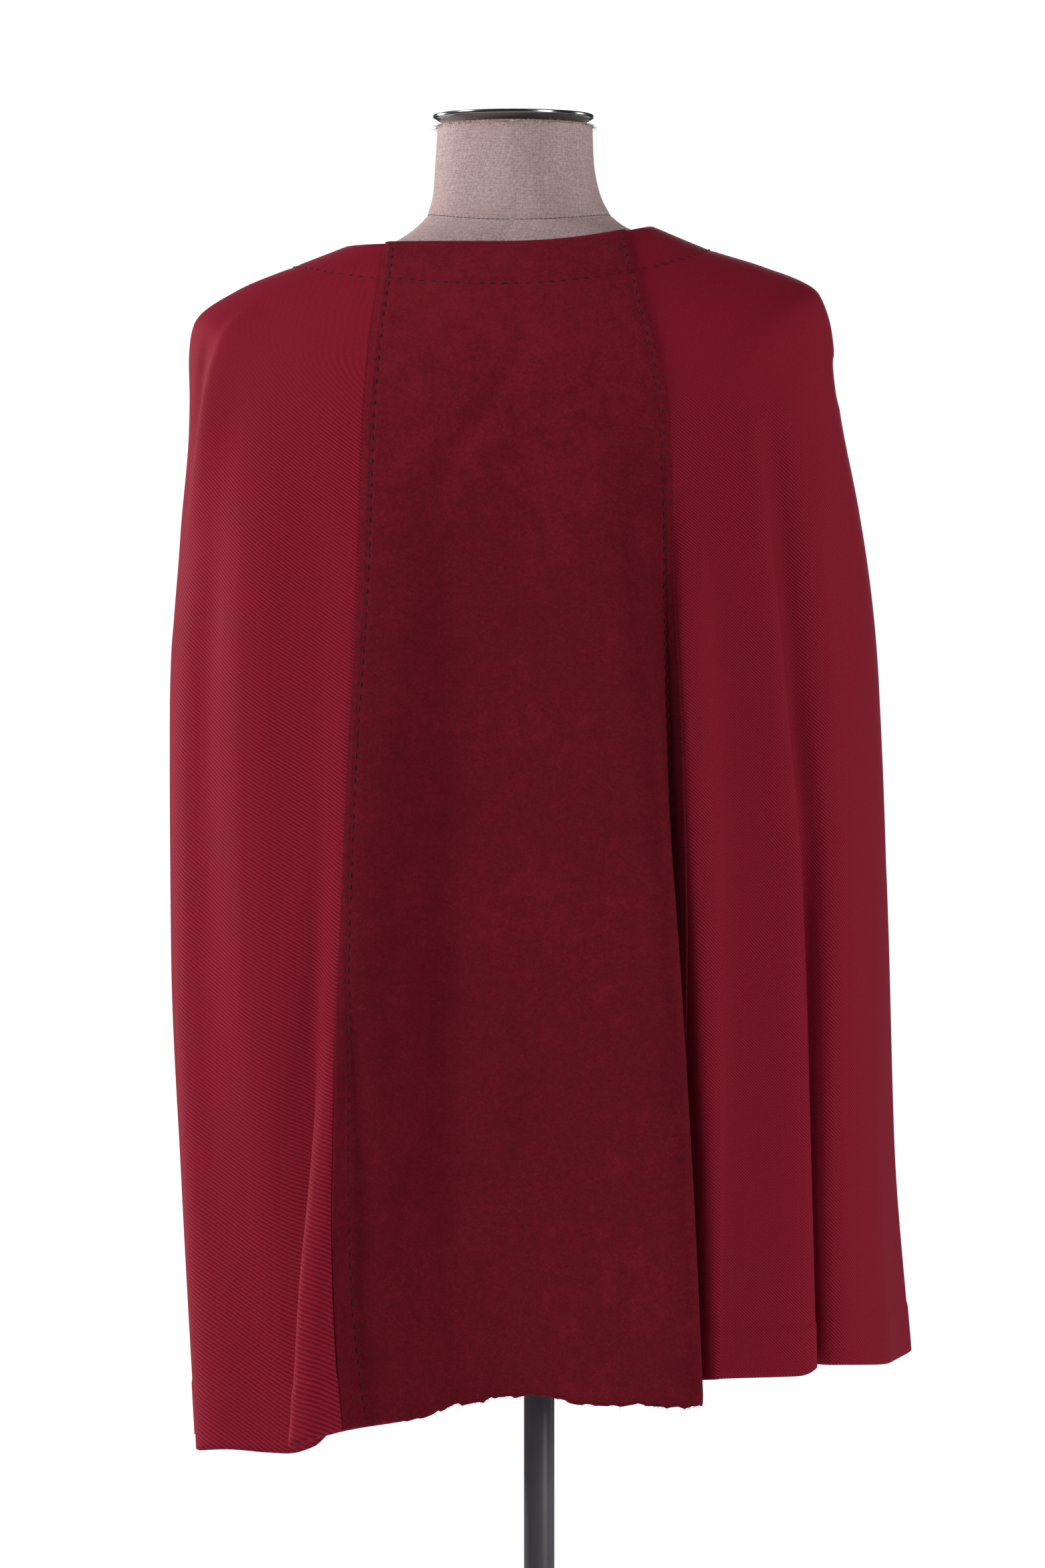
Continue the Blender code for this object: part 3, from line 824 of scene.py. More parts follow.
def smooth_value(knots: Sequence[float], values: Sequence[float], at: Numbers) -> Numbers:
    """Follows a cubic curve through the rows' values that never overshoots them.

    Args:
        knots: where the rows are, rising.
        values: the value in each row.
        at: the place or places to read.

    Returns:
        The value or values there, with the end rows' own beyond them.
    """
    knots = np.asarray(knots, float)
    values = np.asarray(values, float)
    at = np.clip(at, knots[0], knots[-1])
    gaps = np.diff(knots)
    slopes = np.diff(values) / gaps
    bends = np.concatenate([slopes[:1], np.zeros(len(knots) - 2), slopes[-1:]])
    for i in range(1, len(knots) - 1):
        before, after = slopes[i - 1], slopes[i]
        if before * after > 0:
            bends[i] = 2 * before * after / (before + after)
    i = np.clip(np.searchsorted(knots, at, side="right") - 1, 0, len(gaps) - 1)
    t = (at - knots[i]) / gaps[i]
    start = (1 + 2 * t) * (1 - t) ** 2 * values[i] + t * (1 - t) ** 2 * gaps[i] * bends[i]
    end = t * t * (3 - 2 * t) * values[i + 1] + t * t * (t - 1) * gaps[i] * bends[i + 1]
    return start + end


def section_points(
    section: Union[Section, FormSection], angles: np.ndarray, z_back: float, z_front: float
) -> np.ndarray:
    """Finds the points of a closed section.

    Args:
        section: a section of the poncho or of the dress form.
        angles: 0 is the centre back and a quarter turn is the right side.
        z_back: the section's height at the centre back.
        z_front: its height at the centre front.

    Returns:
        One point for each angle.
    """
    side = np.sin(angles)
    back = np.cos(angles)
    bulge = 2 / section.power
    middle = (section.left + section.right) / 2
    reach = (section.right - section.left) / 2
    x = middle + reach * np.sign(side) * abs(side) ** bulge
    y = np.where(back > 0, section.back, section.front) * abs(back) ** bulge
    z_side = np.where(side > 0, section.z_right, section.z_left)
    z_end = np.where(back > 0, z_back, z_front)
    return np.stack([x, y, z_side * side**2 + z_end * back**2], axis=1)


class Ring:
    """One ring of the smooth body, measured along its plan from the centre back towards the right side."""

    SAMPLES = 1440

    def __init__(self, section: Section) -> None:
        """Measures the section's ring and finds its seams.

        Args:
            section: the smooth body's section.
        """
        self.section = section
        angles = np.linspace(0, 2 * math.pi, self.SAMPLES + 1)
        self.points = section_points(section, angles, section.z_back, section.z_front)
        steps = np.hypot(*np.diff(self.points[:, :2], axis=0).T)
        self.lengths = np.concatenate([[0], np.cumsum(steps)])
        self.girth = self.lengths[-1]
        self.seams = self.find_seams()

    def find_seams(self) -> np.ndarray:
        """Finds where the seams lie.

        Returns:
            The distances round the ring of the left back, right back, right front and left front seams,
            and of the left back seam again.
        """
        quarter = self.SAMPLES // 4
        x = self.points[:, 0]
        right_half = slice(0, quarter + 1)
        left_half = slice(3 * quarter, self.SAMPLES + 1)
        front = slice(quarter, 3 * quarter + 1)
        front_x, front_lengths = x[front][::-1], self.lengths[front][::-1]
        left, right = self.section.seam_left, self.section.seam_right
        left_back = np.interp(left, x[left_half], self.lengths[left_half]) - self.girth
        right_back = np.interp(right, x[right_half], self.lengths[right_half])
        right_front = np.interp(right, front_x, front_lengths)
        left_front = np.interp(left, front_x, front_lengths)
        return np.array([left_back, right_back, right_front, left_front, left_back + self.girth])

    def station(self, place: Numbers) -> Numbers:
        """The distance round the ring of a place, which may go on past 4 or below 0."""
        turns, rest = np.divmod(place, 4)
        return np.interp(rest, range(len(self.seams)), self.seams) + turns * self.girth

    def place(self, stations: np.ndarray) -> np.ndarray:
        """The places of distances round the ring."""
        wrapped = np.mod(stations - self.seams[0], self.girth) + self.seams[0]
        return np.interp(wrapped, self.seams, range(len(self.seams)))

    def at(self, stations: np.ndarray) -> np.ndarray:
        """Points of the smooth ring at these distances."""
        wrapped = np.mod(stations, self.girth)
        return np.stack([np.interp(wrapped, self.lengths, column) for column in self.points.T], axis=1)

    def directions(self, station: float) -> tuple[np.ndarray, np.ndarray]:
        """Finds which way the ring runs at one distance.

        Args:
            station: the distance round the ring.

        Returns:
            The level unit vectors along the ring and out of it.
        """
        before, after = self.at(np.array([station - NORMAL_STEP, station + NORMAL_STEP]))
        along = after - before
        along[2] = 0
        along /= np.linalg.norm(along)
        return along, np.array([along[1], -along[0], 0.0])

    def apart(self, stations: np.ndarray, station: float) -> np.ndarray:
        """How far round the ring the stations are from one of them, with its sign."""
        return np.mod(stations - station + self.girth / 2, self.girth) - self.girth / 2


@dataclass
class Drape:
    """The poncho's shape: a smooth body, the folds from its shoulders, its hem's cut and its soft creases."""

    sections: tuple[Section, ...] = SECTIONS
    folds: tuple[Fold, ...] = FOLDS
    hem_cuts: tuple[HemCut, ...] = HEM_CUTS
    creases: tuple[Crease, ...] = CREASES
    hem_cut_start: float = 0.50
    hem_turn: float = 0.037
    stitch_fall: float = 0.037
    stitch_inset: float = 0.0065

    @property
    def hem_fall(self) -> float:
        """The fall of the hem."""
        return self.sections[-1].fall

    def section(self, fall: float) -> Section:
        """Finds the smooth body's section at any fall.

        Args:
            fall: how far down the cloth it is.

        Returns:
            The section.
        """
        falls = [row.fall for row in self.sections]
        columns = zip(*(row.values() for row in self.sections))
        return Section(*(float(smooth_value(falls, column, fall)) for column in columns))

    def ring(self, fall: float) -> Ring:
        """The ring at any fall."""
        return Ring(self.section(fall))

    def share(self, fall: float, start: float) -> float:
        """How far a fall has come from a start to the hem, from 0 to 1."""
        return float(np.clip((fall - start) / (self.hem_fall - start), 0, 1))

    def points(self, ring: Ring, fall: float, stations: np.ndarray) -> np.ndarray:
        """Finds points of the folded cloth, without its creases.

        Args:
            ring: the smooth ring at this fall.
            fall: how far down the cloth it is.
            stations: distances round the ring.

        Returns:
            One point for each station.
        """
        points = ring.at(stations)
        for fold in self.folds:
            growth = self.share(fall, fold.start) ** fold.late
            if growth == 0:
                continue
            crest = float(ring.station(fold.place)) + fold.drift * (1.0 - growth)
            along, out = ring.directions(crest)
            away = ring.apart(stations, crest)
            hump = np.where(abs(away) < fold.width / 2, np.cos(math.pi * away / fold.width) ** 2, 0)
            points = points + growth * hump[:, None] * (fold.depth * out + fold.lean * along)
        cut = self.share(fall, self.hem_cut_start) ** 2
        places = [row.place for row in self.hem_cuts]
        rises = [row.rise for row in self.hem_cuts]
        points[:, 2] += cut * smooth_value(places, rises, ring.place(stations))
        return points

    def crease_height(self, ring: Ring, fall: float, stations: np.ndarray) -> np.ndarray:
        """Finds how far the creases lift the cloth.

        Args:
            ring: the smooth ring at this fall.
            fall: how far down the cloth it is.
            stations: distances round the ring.

        Returns:
            The lift at each station, in metres, and below zero where the cloth sinks.
        """
        height = np.zeros(len(stations))
        for crease in self.creases:
            falls = [point.fall for point in crease]
            if not falls[0] <= fall <= falls[-1]:
                continue
            columns = zip(*((point.place, point.width, point.height) for point in crease))
            place, width, lift = (float(smooth_value(falls, column, fall)) for column in columns)
            away = ring.apart(stations, float(ring.station(place))) / width
            away = np.where(away > 0, away / crease[0].after, away)
            height += lift * np.exp(-CREASE_FALLOFF * away**2)
        return height


def grid_normals(points: np.ndarray) -> np.ndarray:
    """Finds the outward unit normals of a grid of cloth points.

    Args:
        points: the grid, whose rows go down the cloth and columns go round it.

    Returns:
        One normal for each point.
    """
    down = np.gradient(points, axis=0)
    along = np.gradient(points, axis=1)
    normals = np.cross(down, along)
    return normals / np.maximum(np.linalg.norm(normals, axis=2), TINY)[..., None]


# Mesh making


def make_mesh(
    name: str,
    points: np.ndarray,
    faces: Iterable[Sequence[int]],
    material: bpy.types.Material,
    uv: Optional[np.ndarray] = None,
) -> bpy.types.Object:
    """Makes one smooth-shaded mesh object at the origin.

    Args:
        name: the piece's name.
        points: its vertices.
        faces: its faces, as rows of vertex numbers.
        material: its finish.
        uv: for each vertex, its point on the cloth as it was cut.

    Returns:
        The object, linked to the scene.
    """
    mesh = bpy.data.meshes.new(name)
    mesh.from_pydata(np.asarray(points, float).tolist(), [], [list(map(int, face)) for face in faces])
    mesh.materials.append(material)
    mesh.polygons.foreach_set("use_smooth", np.ones(len(mesh.polygons), bool))
    if uv is not None:
        loops = np.zeros(len(mesh.loops), np.int32)
        mesh.loops.foreach_get("vertex_index", loops)
        layer = mesh.uv_layers.new(name=CLOTH_UV)
        layer.data.foreach_set("uv", np.asarray(uv, np.float32)[loops].ravel())
    mesh.update()
    obj = bpy.data.objects.new(name, mesh)
    bpy.context.scene.collection.objects.link(obj)
    return obj


def make_wall(
    name: str, inner: np.ndarray, outer: np.ndarray, uv: np.ndarray, material: bpy.types.Material
) -> bpy.types.Object:
    """Makes a closed wall of cloth between two grids, with a rounded edge all round.

    Args:
        name: the piece's name.
        inner: the grid of points inside.
        outer: the grid of points outside.
        uv: the cut cloth's own coordinates at each grid point.
        material: its finish.

    Returns:
        The object.
    """
    rows, columns = inner.shape[:2]
    count = rows * columns
    number = np.arange(count).reshape(rows, columns)
    here, right = number[:-1, :-1].ravel(), number[:-1, 1:].ravel()
    below, across = number[1:, :-1].ravel(), number[1:, 1:].ravel()
    faces = [np.stack([here, below, across, right], axis=1)]
    faces.append(np.stack([here, right, across, below], axis=1) + count)
    rim = np.concatenate([number[:-1, 0], number[-1, :-1], number[:0:-1, -1], number[0, :0:-1]])
    flat_outer, flat_inner = outer.reshape(-1, 3), inner.reshape(-1, 3)
    middle = (outer + inner) / 2
    inward = np.zeros_like(middle)
    inward[0] += middle[1] - middle[0]
    inward[-1] += middle[-2] - middle[-1]
    inward[:, 0] += middle[:, 1] - middle[:, 0]
    inward[:, -1] += middle[:, -2] - middle[:, -1]
    flat_inward = inward.reshape(-1, 3)[rim]
    flat_inward /= np.maximum(np.linalg.norm(flat_inward, axis=1), TINY)[:, None]
    thick = np.linalg.norm(flat_outer[rim] - flat_inner[rim], axis=1)[:, None]
    edge = middle.reshape(-1, 3)[rim] - flat_inward * thick * EDGE_ROUNDNESS
    around = np.arange(len(rim))
    following = np.roll(around, -1)
    a, b = rim[around], rim[following]
    a_mid, b_mid = 2 * count + around, 2 * count + following
    faces.append(np.stack([b, a, a_mid, b_mid], axis=1))
    faces.append(np.stack([b_mid, a_mid, a + count, b + count], axis=1))
    points = np.concatenate([flat_outer, flat_inner, edge])
    flat_uv = uv.reshape(-1, 2)
    return make_mesh(
        name, points, np.concatenate(faces), material, np.concatenate([flat_uv, flat_uv, flat_uv[rim]])
    )


def make_tubes(
    name: str, paths: np.ndarray, radii: np.ndarray, sides: int, material: bpy.types.Material
) -> bpy.types.Object:
    """Makes many thin closed tubes in one mesh, such as stitches or fibres.

    Args:
        name: the piece's name.
        paths: the tubes' centrelines, tube by tube and point by point.
        radii: the radius at each point.
        sides: how many sides each tube has.
        material: their finish.

    Returns:
        The object.
    """
    tubes, rings = paths.shape[:2]
    along = np.gradient(paths, axis=1)
    along /= np.maximum(np.linalg.norm(along, axis=2), TINY)[..., None]
    guide = np.where(abs(along[..., 2:3]) < STEEP, np.array([0.0, 0.0, 1.0]), np.array([1.0, 0.0, 0.0]))
    first = np.cross(along, guide)
    first /= np.maximum(np.linalg.norm(first, axis=2), TINY)[..., None]
    second = np.cross(along, first)
    turns = np.arange(sides) * 2 * math.pi / sides
    around = (
        first[:, :, None, :] * np.cos(turns)[None, None, :, None]
        + second[:, :, None, :] * np.sin(turns)[None, None, :, None]
    )
    points = paths[:, :, None, :] + around * radii[..., None, None]
    number = np.arange(tubes * rings * sides).reshape(tubes, rings, sides)
    beside = np.roll(number, -1, axis=2)
    quads = np.stack([number[:, :-1], beside[:, :-1], beside[:, 1:], number[:, 1:]], axis=-1).reshape(-1, 4)
    ends = [list(row) for row in number[:, 0, ::-1]] + [list(row) for row in number[:, -1]]
    return make_mesh(name, points.reshape(-1, 3), quads.tolist() + ends, material)


def dress(obj: bpy.types.Object, slot: str, *nodes: str) -> bpy.types.Object:
    """Rides a piece on the frame and hides the nodes that it stands for.

    Args:
        obj: the piece.
        slot: the material slot of its finish, which is not used.
        nodes: the frame's nodes that it replaces.

    Returns:
        The piece.
    """
    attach(obj, BODY)
    if nodes:
        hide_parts(*nodes)
    LOG.info("%s: %d faces", obj.name, len(obj.data.polygons))
    return obj


# The poncho's pieces


@dataclass(frozen=True)
class Wave:
    """One of the waves that make a raw hem uneven: how close, where it starts and how high."""

    rate: float
    phase: float
    size: float


@dataclass
class Panel:
    """One cut piece of the poncho, as a thin wall that hangs in the drape's folds."""

    drape: Drape
    name: str
    side: Side
    thickness: float
    lift: float
    columns: int
    finish: Union[TwillFinish, FeltFinish]
    slot: str
    flat: tuple[float, float]
    area: float
    lap_columns: int = 0
    turned: float = 0.0
    ragged: float = 0.0
    shoulder_rows: int = 60
    hanging_rows: int = 124
    hem_rows: int = 12
    stitch_trough: float = 0.0005
    stitch_width: float = 0.0024
    turn_relief: float = 0.35
    edge_thinning: float = 0.0014
    edge_width: float = 0.0030
    falls: np.ndarray = field(init=False)
    places: np.ndarray = field(init=False)
    outer: np.ndarray = field(init=False)
    normals: np.ndarray = field(init=False)

    SHOULDER_FALL = 0.19
    BEND_WEIGHT = 0.02
    PLACE_SAMPLES = 1600
    LAST_CELL = 1.001
    LAP_SPREAD = 6
    HEM_PRESS = 0.5
    HEM_WAVES = (Wave(41.0, 0.4, 0.5), Wave(97.0, 1.9, 0.3), Wave(173.0, 4.0, 0.3), Wave(331.0, 2.2, 0.2))

    def find_falls(self) -> np.ndarray:
        """Spaces the mesh's rows, closer over the shoulders and at the hem.

        Returns:
            The fall of each row.
        """
        turn = self.drape.hem_fall - self.drape.hem_turn
        shoulders = np.linspace(0, self.SHOULDER_FALL, self.shoulder_rows, endpoint=False)
        hanging = np.linspace(self.SHOULDER_FALL, turn, self.hanging_rows, endpoint=False)
        return np.concatenate([shoulders, hanging, np.linspace(turn, self.drape.hem_fall, self.hem_rows)])

    def spread(self, first: float, count: int) -> np.ndarray:
        """Places across one panel, closer together where the hem bends.

        Args:
            first: the place of the panel's first seam.
            count: how many columns it has.

        Returns:
            The places of the columns' edges.
        """
        fall = self.drape.hem_fall
        ring = self.drape.ring(fall)
        fine = np.linspace(first, first + 1, self.PLACE_SAMPLES)
        points = self.drape.points(ring, fall, ring.station(fine))[:, :2]
        steps = np.diff(points, axis=0)
        headings = np.unwrap(np.arctan2(steps[:, 1], steps[:, 0]))
        turns = np.concatenate([[0], abs(np.diff(headings))])
        cost = np.concatenate([[0], np.cumsum(np.hypot(*steps.T) + self.BEND_WEIGHT * turns)])
        return np.interp(np.linspace(0, cost[-1], count + 1), cost, fine)

    def find_places(self) -> np.ndarray:
        """Spaces the mesh's columns, with the laps under the neighbouring panels.

        Returns:
            The place of each column.
        """
        first = self.side.value
        own = self.spread(first, self.columns)
        if not self.lap_columns:
            return own
        count = self.lap_columns * self.LAP_SPREAD
        before = self.spread(first - 1, count)[-1 - self.lap_columns : -1]
        after = self.spread(first + 1, count)[1 : 1 + self.lap_columns]
        return np.concatenate([before, own, after])

    def measure(self) -> tuple[np.ndarray, np.ndarray]:
        """Finds the cloth's points, and how far its face is pulled in by stitches and pressed at raw edges.

        Returns:
            The grid of points with its creases, and how far the face sinks at each point, in metres.
        """
        points, heights, pulls = [], [], []
        for fall in self.falls:
            ring = self.drape.ring(fall)
            stations = ring.station(self.places)
            points.append(self.drape.points(ring, fall, stations))
            heights.append(self.drape.crease_height(ring, fall, stations))
            neck_line = math.exp(-(((fall - self.drape.stitch_fall) / self.stitch_width) ** 2))
            pull = np.full(len(stations), neck_line * self.stitch_trough)
            if not self.lap_columns:
                pull = self.press_edges(ring, fall, stations, pull)
            pulls.append(pull)
        grid = np.array(points)
        grid += np.array(heights)[..., None] * grid_normals(grid)
        return grid, np.array(pulls)

    def press_edges(self, ring: Ring, fall: float, stations: np.ndarray, pull: np.ndarray) -> np.ndarray:
        """Adds the pull of a centre panel's seam stitches and the pressing of its raw edges.

        Args:
            ring: the smooth ring at this fall.
            fall: how far down the cloth it is.
            stations: the columns' distances round the ring.
            pull: how far the face sinks already.

        Returns:
            How far the face sinks at each station, in metres.
        """
        seams = ring.station(np.array([self.side.value, self.side.value + 1], float))
        inset = self.drape.stitch_inset
        for line in (seams[0] + inset, seams[1] - inset):
            away = (stations - line) / self.stitch_width
            pull = np.maximum(pull, np.exp(-(away**2)) * self.stitch_trough)
        for line in seams:
            away = (stations - line) / self.edge_width
            pull = np.maximum(pull, np.exp(-(away**2)) * self.edge_thinning)
        ends = math.exp(-((fall / self.edge_width) ** 2))
        ends = max(ends, math.exp(-(((fall - self.drape.hem_fall) / self.edge_width) ** 2)))
        return np.maximum(pull, ends * self.edge_thinning * self.HEM_PRESS)

    def map_cloth(self, grid: np.ndarray) -> np.ndarray:
        """Finds the cut cloth's own coordinates.

        Args:
            grid: the panel's points.

        Returns:
            For each point, metres across from the first seam and metres down from the neck.
        """
        steps = np.linalg.norm(np.diff(grid, axis=1), axis=2)
        across = np.concatenate([np.zeros((len(grid), 1)), np.cumsum(steps, axis=1)], axis=1)
        across -= across[:, self.lap_columns : self.lap_columns + 1]
        down = np.repeat(self.falls[:, None], grid.shape[1], axis=1)
        return np.stack([across, down], axis=2)

    def build(self) -> bpy.types.Object:
        """Builds the panel.

        Returns:
            The panel's object.
        """
        self.falls = self.find_falls()
        self.places = self.find_places()
        grid, pull = self.measure()
        if self.ragged:
            grid = self.fray_hem(grid)
        self.normals = grid_normals(grid)
        turn = self.drape.hem_fall - self.drape.hem_turn
        thicker = np.where(self.falls > turn + TINY, self.turned, 0.0)[:, None]
        face = self.lift + self.thickness + thicker * self.turn_relief - pull
        self.outer = grid + self.normals * face[..., None]
        inner = grid + self.normals * (self.lift - thicker)[..., None]
        uv = self.map_cloth(grid)
        obj = make_wall(self.name, inner, self.outer, uv, self.finish.build())
        dress(obj, self.slot, self.name.replace("_cloth", "_panel"))
        self.log_size(grid)
        return obj

    def fray_hem(self, grid: np.ndarray) -> np.ndarray:
        """Makes the raw hem's edge a little uneven, and the rows above it less and less.

        Args:
            grid: the panel's points.

        Returns:
            The moved points.
        """
        ramp = np.clip(1 - (self.drape.hem_fall - self.falls) / self.drape.hem_turn, 0, 1)[:, None] ** 2
        waves = sum(wave.size * np.sin(self.places * wave.rate + wave.phase) for wave in self.HEM_WAVES)
        moved = grid.copy()
        moved[..., 2] += self.ragged * ramp * waves[None, :]
        return moved

    def log_size(self, grid: np.ndarray) -> None:
        """Reports the piece's width along the neck and the hem, its length and its area.

        Args:
            grid: the panel's points.
        """
        across = np.linalg.norm(np.diff(grid, axis=1), axis=2)
        down = np.linalg.norm(np.diff(grid, axis=0), axis=2)
        cells = across[:-1] * (down[:, :-1] + down[:, 1:]) / 2
        LOG.info(
            "%s: neck %.3f m, hem %.3f m, length %.3f to %.3f m, area %.4f m2",
            self.name,
            across[0].sum(),
            across[-1].sum(),
            down.sum(axis=0).min(),
            down.sum(axis=0).max(),
            cells.sum(),
        )

    def surface(self, falls: np.ndarray, places: np.ndarray) -> tuple[np.ndarray, np.ndarray]:
        """Reads the outer surface between the grid's points.

        Args:
            falls: how far down the cloth each wanted point is.
            places: its place across the cloth.

        Returns:
            The points and the outward unit normals there.
        """
        row, column = (
            np.clip(np.interp(wanted, known, np.arange(len(known))), 0, len(known) - self.LAST_CELL)
            for wanted, known in ((falls, self.falls), (places, self.places))
        )
        r, c = row.astype(int), column.astype(int)
        fr, fc = (row - r)[..., None], (column - c)[..., None]
        found = []
        for grid in (self.outer, self.normals):
            top = grid[r, c] * (1 - fc) + grid[r, c + 1] * fc
            low = grid[r + 1, c] * (1 - fc) + grid[r + 1, c + 1] * fc
            found.append(top * (1 - fr) + low * fr)
        points, normals = found
        return points, normals / np.linalg.norm(normals, axis=-1)[..., None]


@dataclass
class Stitching:
    """Rows of dark running stitches: along the lapped seams, and round the neck."""

    drape: Drape
    panels: dict[Side, Panel]
    finish: FibreFinish
    pitch: float = 0.0080
    dash: float = 0.0046
    radius: float = 0.00050
    sides: int = 6
    shake: float = 0.0005
    end_margin: float = 0.004
    seed: int = 4

    PROFILE = np.array([0.35, 0.85, 1.0, 1.0, 0.85, 0.35])
    HEIGHT = np.array([-0.9, 0.2, 0.6, 0.6, 0.2, -0.9])
    SEAM_SAMPLES = 260
    NECK_SAMPLES = 200
    FIRST_STITCH = 0.4
    DASH_SPREAD = (0.85, 1.1)
    THREAD_SPREAD = (0.85, 1.15)

    def dashes(self, falls: np.ndarray, places: np.ndarray, panel: Panel) -> tuple[np.ndarray, np.ndarray]:
        """Cuts a line on a panel into dashes.

        Args:
            falls: the line's falls, closely spaced.
            places: its places.
            panel: the panel that it is on.

        Returns:
            The dashes' points and the radius at each.
        """
        points, _ = panel.surface(falls, places)
        lengths = np.concatenate([[0], np.cumsum(np.linalg.norm(np.diff(points, axis=0), axis=1))])
        random = np.random.default_rng(self.seed + panel.side.value)
        starts = np.arange(self.pitch * self.FIRST_STITCH, lengths[-1] - self.dash, self.pitch)
        starts = starts + random.uniform(-self.shake, self.shake, len(starts))
        long = self.dash * random.uniform(*self.DASH_SPREAD, len(starts))
        at = starts[:, None] + long[:, None] * np.linspace(0, 1, len(self.PROFILE))[None, :]
        centres, normals = panel.surface(np.interp(at, lengths, falls), np.interp(at, lengths, places))
        thick = self.radius * random.uniform(*self.THREAD_SPREAD, len(starts))[:, None]
        return centres + normals * (self.HEIGHT * thick)[..., None], self.PROFILE * thick

    def seam_lines(self, side: Side) -> list[tuple[np.ndarray, np.ndarray]]:
        """Finds the two lines of stitches inside a centre panel's edges.

        Args:
            side: the panel's side.

        Returns:
            The falls and the places of each line.
        """
        falls = np.linspace(self.end_margin, self.drape.hem_fall - self.end_margin, self.SEAM_SAMPLES)
        lines = []
        for end, sign in ((0, 1), (1, -1)):
            places = []
            for fall in falls:
                edges = self.drape.ring(fall).station(np.array([side.value, side.value + 1], float))
                line = edges[end] + sign * self.drape.stitch_inset
                places.append(side.value + (line - edges[0]) / (edges[1] - edges[0]))
            lines.append((falls, np.array(places)))
        return lines

    def build(self) -> bpy.types.Object:
        """Builds every stitch in one piece.

        Returns:
            The stitches' object.
        """
        found = []
        for side in (Side.BACK, Side.FRONT):
            for falls, places in self.seam_lines(side):
                found.append(self.dashes(falls, places, self.panels[side]))
        for side, panel in self.panels.items():
            ends = side.value + self.end_margin, side.value + 1 - self.end_margin
            places = np.linspace(*ends, self.NECK_SAMPLES)
            found.append(self.dashes(np.full(len(places), self.drape.stitch_fall), places, panel))
        paths = np.concatenate([path for path, _ in found])
        radii = np.concatenate([radius for _, radius in found])
        obj = make_tubes("seam_stitching", paths, radii, self.sides, self.finish.build())
        return dress(obj, "wool_twill")


@dataclass
class Fray:
    """Short loose fibres along the raw edges of a felted panel."""

    panel: Panel
    finish: FibreFinish
    name: str
    hem_count: int = 2200
    seam_count: int = 1700
    neck_count: int = 620
    radius: float = 0.00011
    length: float = 0.0012
    shortest: float = 0.0006
    longest: float = 0.0042
    root: float = 0.0006
    seed: int = 11

    STEP = 0.004
    SHORTER = 0.55
    OUTWARD, LIFTED, SCATTER, CURL = 0.55, 0.15, 0.50, 0.45
    STEPS = (0.0, 0.5, 1.0)
    TAPER = np.array([1.0, 0.8, 0.25])
    DEPTHS = (0.1, 1.0)
    THICKNESSES = (0.7, 1.2)
    SIDES = 3

    def build(self) -> bpy.types.Object:
        """Builds the fibres of the hem, both seams and the neck edge in one piece.

        Returns:
            The fibres' object.
        """
        random = np.random.default_rng(self.seed)
        first = self.panel.side.value
        hem = self.panel.falls[-1]
        starts, ways, lengths = [], [], []
        for count, edge in (
            (self.hem_count, "hem"),
            (self.neck_count, "neck"),
            (self.seam_count, "left"),
            (self.seam_count, "right"),
        ):
            falls = random.uniform(0.0, hem, count)
            places = random.uniform(first, first + 1, count)
            if edge in ("hem", "neck"):
                falls[:] = hem if edge == "hem" else 0.0
            else:
                places[:] = first if edge == "left" else first + 1
            points, normals = self.panel.surface(falls, places)
            deeper, _ = self.panel.surface(np.clip(falls + self.STEP, 0, hem), places)
            higher, _ = self.panel.surface(np.clip(falls - self.STEP, 0, hem), places)
            down = deeper - higher
            down /= np.linalg.norm(down, axis=1)[:, None]
            along = np.cross(normals, down)
            outward = {"hem": down, "neck": -down, "left": -along, "right": along}[edge]
            points = points - normals * random.uniform(*self.DEPTHS, count)[:, None] * self.panel.thickness
            wander = random.normal(0, 1, (count, 3))
            starts.append(points - outward * self.root)
            ways.append(outward * self.OUTWARD + normals * self.LIFTED + wander * self.SCATTER)
            stretch = random.gamma(2.0, 0.5, count) * self.length * (1.0 if edge == "hem" else self.SHORTER)
            lengths.append(np.clip(stretch, self.shortest, self.longest))
        start = np.concatenate(starts)
        heading = np.concatenate(ways)
        heading /= np.linalg.norm(heading, axis=1)[:, None]
        long = np.concatenate(lengths)[:, None]
        curl = random.normal(0, self.CURL, (len(start), 3))
        paths = np.stack([start + heading * long * t + curl * long * t * t for t in self.STEPS], axis=1)
        radii = self.radius * self.TAPER[None, :] * random.uniform(*self.THICKNESSES, (len(start), 1))
        obj = make_tubes(self.name, paths, radii, self.SIDES, self.finish.build())
        return dress(obj, "felted_wool")


